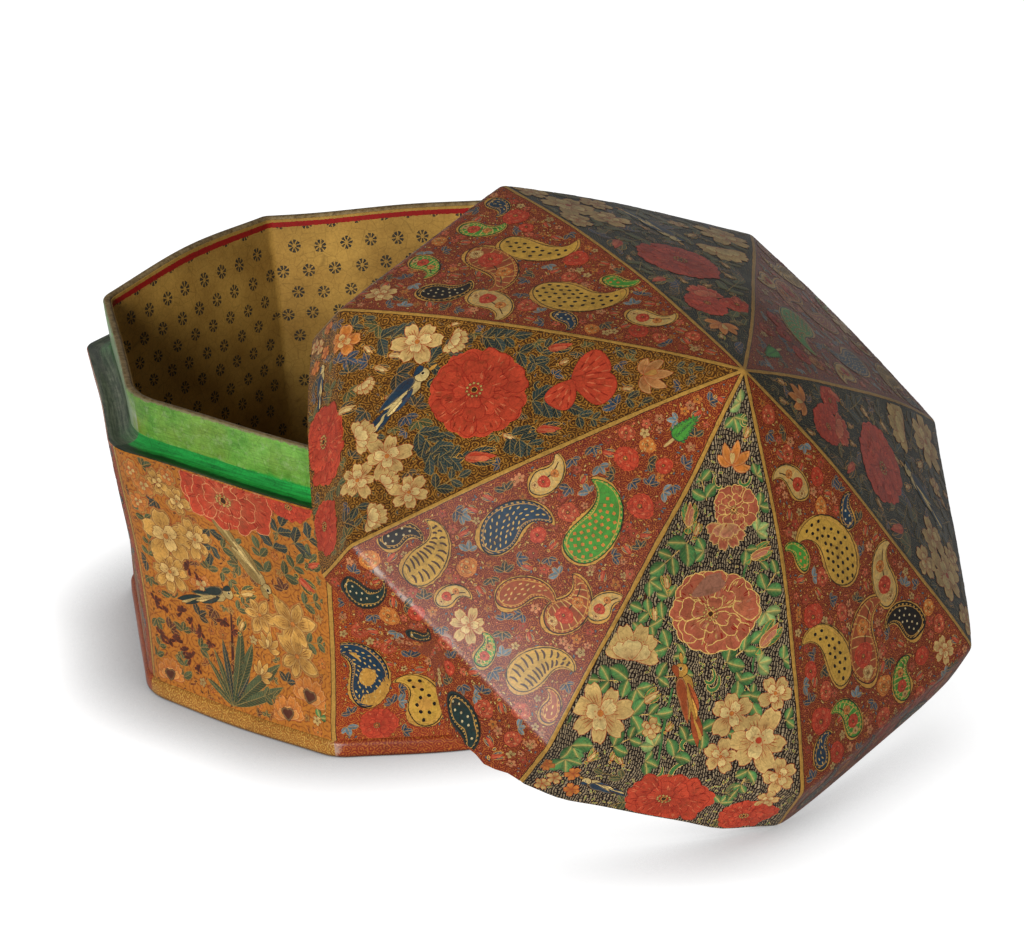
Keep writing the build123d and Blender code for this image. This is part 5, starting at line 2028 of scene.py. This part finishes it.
def collar_side(side):
    """One inner board: hidden below the ledge, green above it, its rim covered by the lining paper."""
    paints = mix_paints()
    above = np.linspace(LEDGE_HEIGHT + 2, RIM_HEIGHT - BELOW_RIM, 9)
    z = np.concatenate([np.linspace(FLOOR_BOARD, LEDGE_HEIGHT, 6), above])
    outer = np.stack([collar_face(z), z], axis=1)
    edge = collar_face(RIM_HEIGHT)
    inner_centre = (edge - INNER_BOARD + RIM_EDGE_INSIDE, RIM_HEIGHT - 1.0)
    top = np.concatenate(
        [
            arc((edge - RIM_EDGE, RIM_HEIGHT - RIM_EDGE), RIM_EDGE, 0, math.radians(80), 5),
            arc(inner_centre, RIM_EDGE_INSIDE, math.radians(100), math.radians(180), 5),
        ]
    )
    inner = np.stack([collar_face(z[::-1]) - INNER_BOARD, z[::-1]], axis=1)
    section = np.concatenate([outer, top, inner])
    heights = np.concatenate([z, RIM_HEIGHT + np.linspace(-1, 2, 10), z[::-1]])
    slots = np.repeat([0, 1, 0], [len(outer) + 3, 7, len(inner)])
    sheet = Sheet()
    slab(sheet, section, heights, side, place_box, even_columns(28), corners_of(side, COLLAR_CORNERS), slots)
    piece = sheet.make(f"collar_{side + 1}", [paints["collar"], paints["lining"]])
    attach(piece, "box")
    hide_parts(f"inner_board_{side + 1}")


def wall_paper(side):
    """Printed paper on one inner board."""
    paints = mix_paints()
    z = np.linspace(FLOOR_BOARD, RIM_HEIGHT - BELOW_RIM, 12)
    outer = np.stack([collar_face(z) - INNER_BOARD, z], axis=1)
    inner = np.stack([collar_face(z[::-1]) - INNER_BOARD - LINING, z[::-1]], axis=1)
    section = np.concatenate([outer, inner])
    sheet = Sheet()
    corners = corners_of(side, COLLAR_CORNERS) * 0.9
    slab(sheet, section, section[:, 1], side, place_box, even_columns(22), corners, np.zeros(len(section)))
    piece = sheet.make(f"wall_paper_{side + 1}", [paints["lining"]])
    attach(piece, "box")
    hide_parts(f"lining_sheet_{side + 1}")


def floor_paper():
    """Printed paper on the floor: an octagonal sheet, built as eight wedges that meet at the middle."""
    paints = mix_paints()
    edge = collar_face(FLOOR_BOARD) - INNER_BOARD - LINING
    low, high = FLOOR_BOARD, FLOOR_BOARD + LINING
    sheet = Sheet()
    reach = np.linspace(edge, 0, 9)
    top = np.stack([reach, np.full(9, high)], axis=1)
    bottom = np.stack([reach[::-1], np.full(9, low)], axis=1)
    for side in range(SIDES):
        slab(sheet, np.concatenate([top, bottom]), np.concatenate([reach, reach[::-1]]), side, place_box,
             even_columns(8), 0.5, np.zeros(18))
    piece = sheet.make("floor_paper", [paints["lining"]])
    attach(piece, "box")
    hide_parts("floor_lining")


# --- Stage ---------------------------------------------------------------------------------------------

# Where the camera stands, in millimetres, and how it is turned, in radians
CAMERA_AT = (-207.8, -1981.4, 977.4)
CAMERA_YAW, CAMERA_PITCH, CAMERA_ROLL = 0.1236, 0.42825, -0.04344
CAMERA_LENS = 175.8


def stand_camera():
    """Camera that looks down at the box from a little to its left."""
    data = bpy.data.cameras.new("camera")
    data.lens = CAMERA_LENS
    data.sensor_width = 36.0
    data.clip_end = 50.0
    camera = bpy.data.objects.new("camera", data)
    bpy.context.scene.collection.objects.link(camera)
    ahead = np.array([
        math.sin(CAMERA_YAW) * math.cos(CAMERA_PITCH),
        math.cos(CAMERA_YAW) * math.cos(CAMERA_PITCH),
        -math.sin(CAMERA_PITCH),
    ])
    right = np.array([math.cos(CAMERA_YAW), -math.sin(CAMERA_YAW), 0.0])
    up = np.cross(right, ahead)
    c, s = math.cos(CAMERA_ROLL), math.sin(CAMERA_ROLL)
    right, up = right * c + up * s, up * c - right * s
    place = np.eye(4)
    place[:3, 0], place[:3, 1], place[:3, 2] = right, up, -ahead
    place[:3, 3] = np.array(CAMERA_AT) * MM
    camera.matrix_world = Matrix(place.tolist())
    bpy.context.scene.camera = camera


def hang_lamp(name, azimuth, elevation, strength, softness):
    """Distant soft lamp: it shines from a compass direction and a height above the floor, both in degrees."""
    data = bpy.data.lights.new(name, "SUN")
    data.angle = math.radians(softness)
    data.energy = strength
    lamp = bpy.data.objects.new(name, data)
    bpy.context.scene.collection.objects.link(lamp)
    a, e = math.radians(azimuth), math.radians(elevation)
    back = np.array([math.cos(a) * math.cos(e), math.sin(a) * math.cos(e), math.sin(e)])
    right = np.cross([0.0, 0.0, 1.0], back)
    right /= np.linalg.norm(right)
    place = np.eye(4)
    place[:3, 0], place[:3, 1], place[:3, 2], place[:3, 3] = right, np.cross(back, right), back, back
    lamp.matrix_world = Matrix(place.tolist())


WHITE = (1.0, 1.0, 1.0, 1.0)


def lay_floor(glow):
    """Wide pale floor: plain diffuse that shows white to the camera and keeps a soft shadow near the box."""
    material, add = new_material("pale_floor")
    diffuse = add("BsdfDiffuse", (0.8, 0.8, 0.8, 1.0))
    shown = add("BsdfDiffuse", (0.25, 0.25, 0.25, 1.0))
    leaning = add("CombineXYZ", 0.62, 0.2, 0.76)  # the sky is brighter on the far right
    open_sky = add("AmbientOcclusion", WHITE, 0.042, leaning, out=1, samples=8)
    open_sky = add("Math POWER", open_sky, 1.3)
    glowing = add("Emission", WHITE, add("Math MULTIPLY", open_sky, glow))
    both = add("AddShader", shown, glowing)
    seen = add("LightPath", out=None)
    shader = add("MixShader", seen["Is Camera Ray"], diffuse, both)
    add("OutputMaterial", shader, out=None)
    mesh = bpy.data.meshes.new("floor")
    r = 12.0
    mesh.from_pydata([(-r, -r, 0), (r, -r, 0), (r, r, 0), (-r, r, 0)], [], [(0, 1, 2, 3)])
    mesh.materials.append(material)
    floor = bpy.data.objects.new("floor", mesh)
    bpy.context.scene.collection.objects.link(floor)


def light_world(strength):
    """Even pale surround: white to the camera, dimmer as light, darker on the near side in reflections."""
    world = bpy.data.worlds.new("surround")
    world.use_nodes = True
    world.node_tree.nodes.clear()
    add = functools.partial(add_node, world.node_tree)
    seen = add("LightPath", out=None)
    way = add("SeparateXYZ", add("TexCoord", out=0), out=1)
    far = add("MapRange", way, -0.4, 0.6, 0.12, 0.3)
    shiny = add("Math MULTIPLY", seen["Is Glossy Ray"], far)
    rays = add("Math MAXIMUM", seen["Is Camera Ray"], seen["Is Transmission Ray"])
    rays = add("Math MAXIMUM", rays, shiny)
    level = add("Math MAXIMUM", rays, strength)
    add("OutputWorld", add("Background", WHITE, level), out=None)
    bpy.context.scene.world = world


# --- Settings, operators and panel ---------------------------------------------------------------------


class BoxSettings(bpy.types.PropertyGroup):
    """Sizes and light that a user would change."""

    gold_band: bpy.props.FloatProperty(
        name="Lid gold band", description="Gilded band beside each lid rib", default=0.0008, unit="LENGTH"
    )
    body_band: bpy.props.FloatProperty(
        name="Body gold band", description="Gilded band at each body corner", default=0.0009, unit="LENGTH"
    )
    key_strength: bpy.props.FloatProperty(
        name="Key lamp", description="Strength of the soft lamp at the front left", default=3.0, min=0.0
    )
    surround: bpy.props.FloatProperty(
        name="Surround", description="Strength of the pale surround as light", default=0.16, min=0.0
    )
    floor_glow: bpy.props.FloatProperty(
        name="Floor glow", description="Light added to the floor as the camera sees it", default=1.0, min=0.0
    )


class BOX_OT_lid(bpy.types.Operator):
    """Makes the eight painted gores of the lid and the paper inside them"""

    bl_idname = "papier_box.lid"
    bl_label = "Lid"

    def execute(self, context):
        for side in range(SIDES):
            lid_panel(side)
            lid_paper(side)
        return {"FINISHED"}


class BOX_OT_body(bpy.types.Operator):
    """Makes the eight painted sides of the body with the ledge and the foot band"""

    bl_idname = "papier_box.body"
    bl_label = "Body"

    def execute(self, context):
        for side in range(SIDES):
            wall_panel(side)
            foot_band(side)
        return {"FINISHED"}


class BOX_OT_collar(bpy.types.Operator):
    """Makes the green collar and the printed paper inside the box, and finishes the floor board"""

    bl_idname = "papier_box.collar"
    bl_label = "Collar and lining"

    def execute(self, context):
        for side in range(SIDES):
            collar_side(side)
            wall_paper(side)
        floor_paper()
        board = frame["nodes"]["floor_board"].data
        board.materials.clear()
        board.materials.append(mix_paints()["board"])
        return {"FINISHED"}


class BOX_OT_stage(bpy.types.Operator):
    """Sets the floor, the lamps, the surround and the camera"""

    bl_idname = "papier_box.stage"
    bl_label = "Stage"

    def execute(self, context):
        settings = context.scene.papier_box
        context.scene.view_settings.view_transform = "Standard"
        lay_floor(settings.floor_glow)
        light_world(settings.surround)
        hang_lamp("key", -119.0, 20.0, settings.key_strength, 24.0)
        stand_camera()
        return {"FINISHED"}


class BOX_PT_panel(bpy.types.Panel):
    """Lists the steps of the box in the sidebar"""

    bl_idname = "BOX_PT_panel"
    bl_label = "Papier mache box"
    bl_space_type = "VIEW_3D"
    bl_region_type = "UI"
    bl_category = "Box"

    def draw(self, context):
        for name in BoxSettings.__annotations__:
            self.layout.prop(context.scene.papier_box, name)
        for step in STEPS:
            self.layout.operator(step.bl_idname)


STEPS = (BOX_OT_lid, BOX_OT_body, BOX_OT_collar, BOX_OT_stage)
CLASSES = (BoxSettings, *STEPS, BOX_PT_panel)


def register():
    """Makes the settings, the operators and the panel known to Blender."""
    for cls in CLASSES:
        bpy.utils.register_class(cls)
    bpy.types.Scene.papier_box = bpy.props.PointerProperty(type=BoxSettings)


def unregister():
    """Takes them away again."""
    del bpy.types.Scene.papier_box
    for cls in reversed(CLASSES):
        bpy.utils.unregister_class(cls)


def main():
    """Makes the whole box and its stage."""
    register()
    bpy.ops.papier_box.lid()
    bpy.ops.papier_box.body()
    bpy.ops.papier_box.collar()
    bpy.ops.papier_box.stage()


if __name__ == "__main__":
    main()
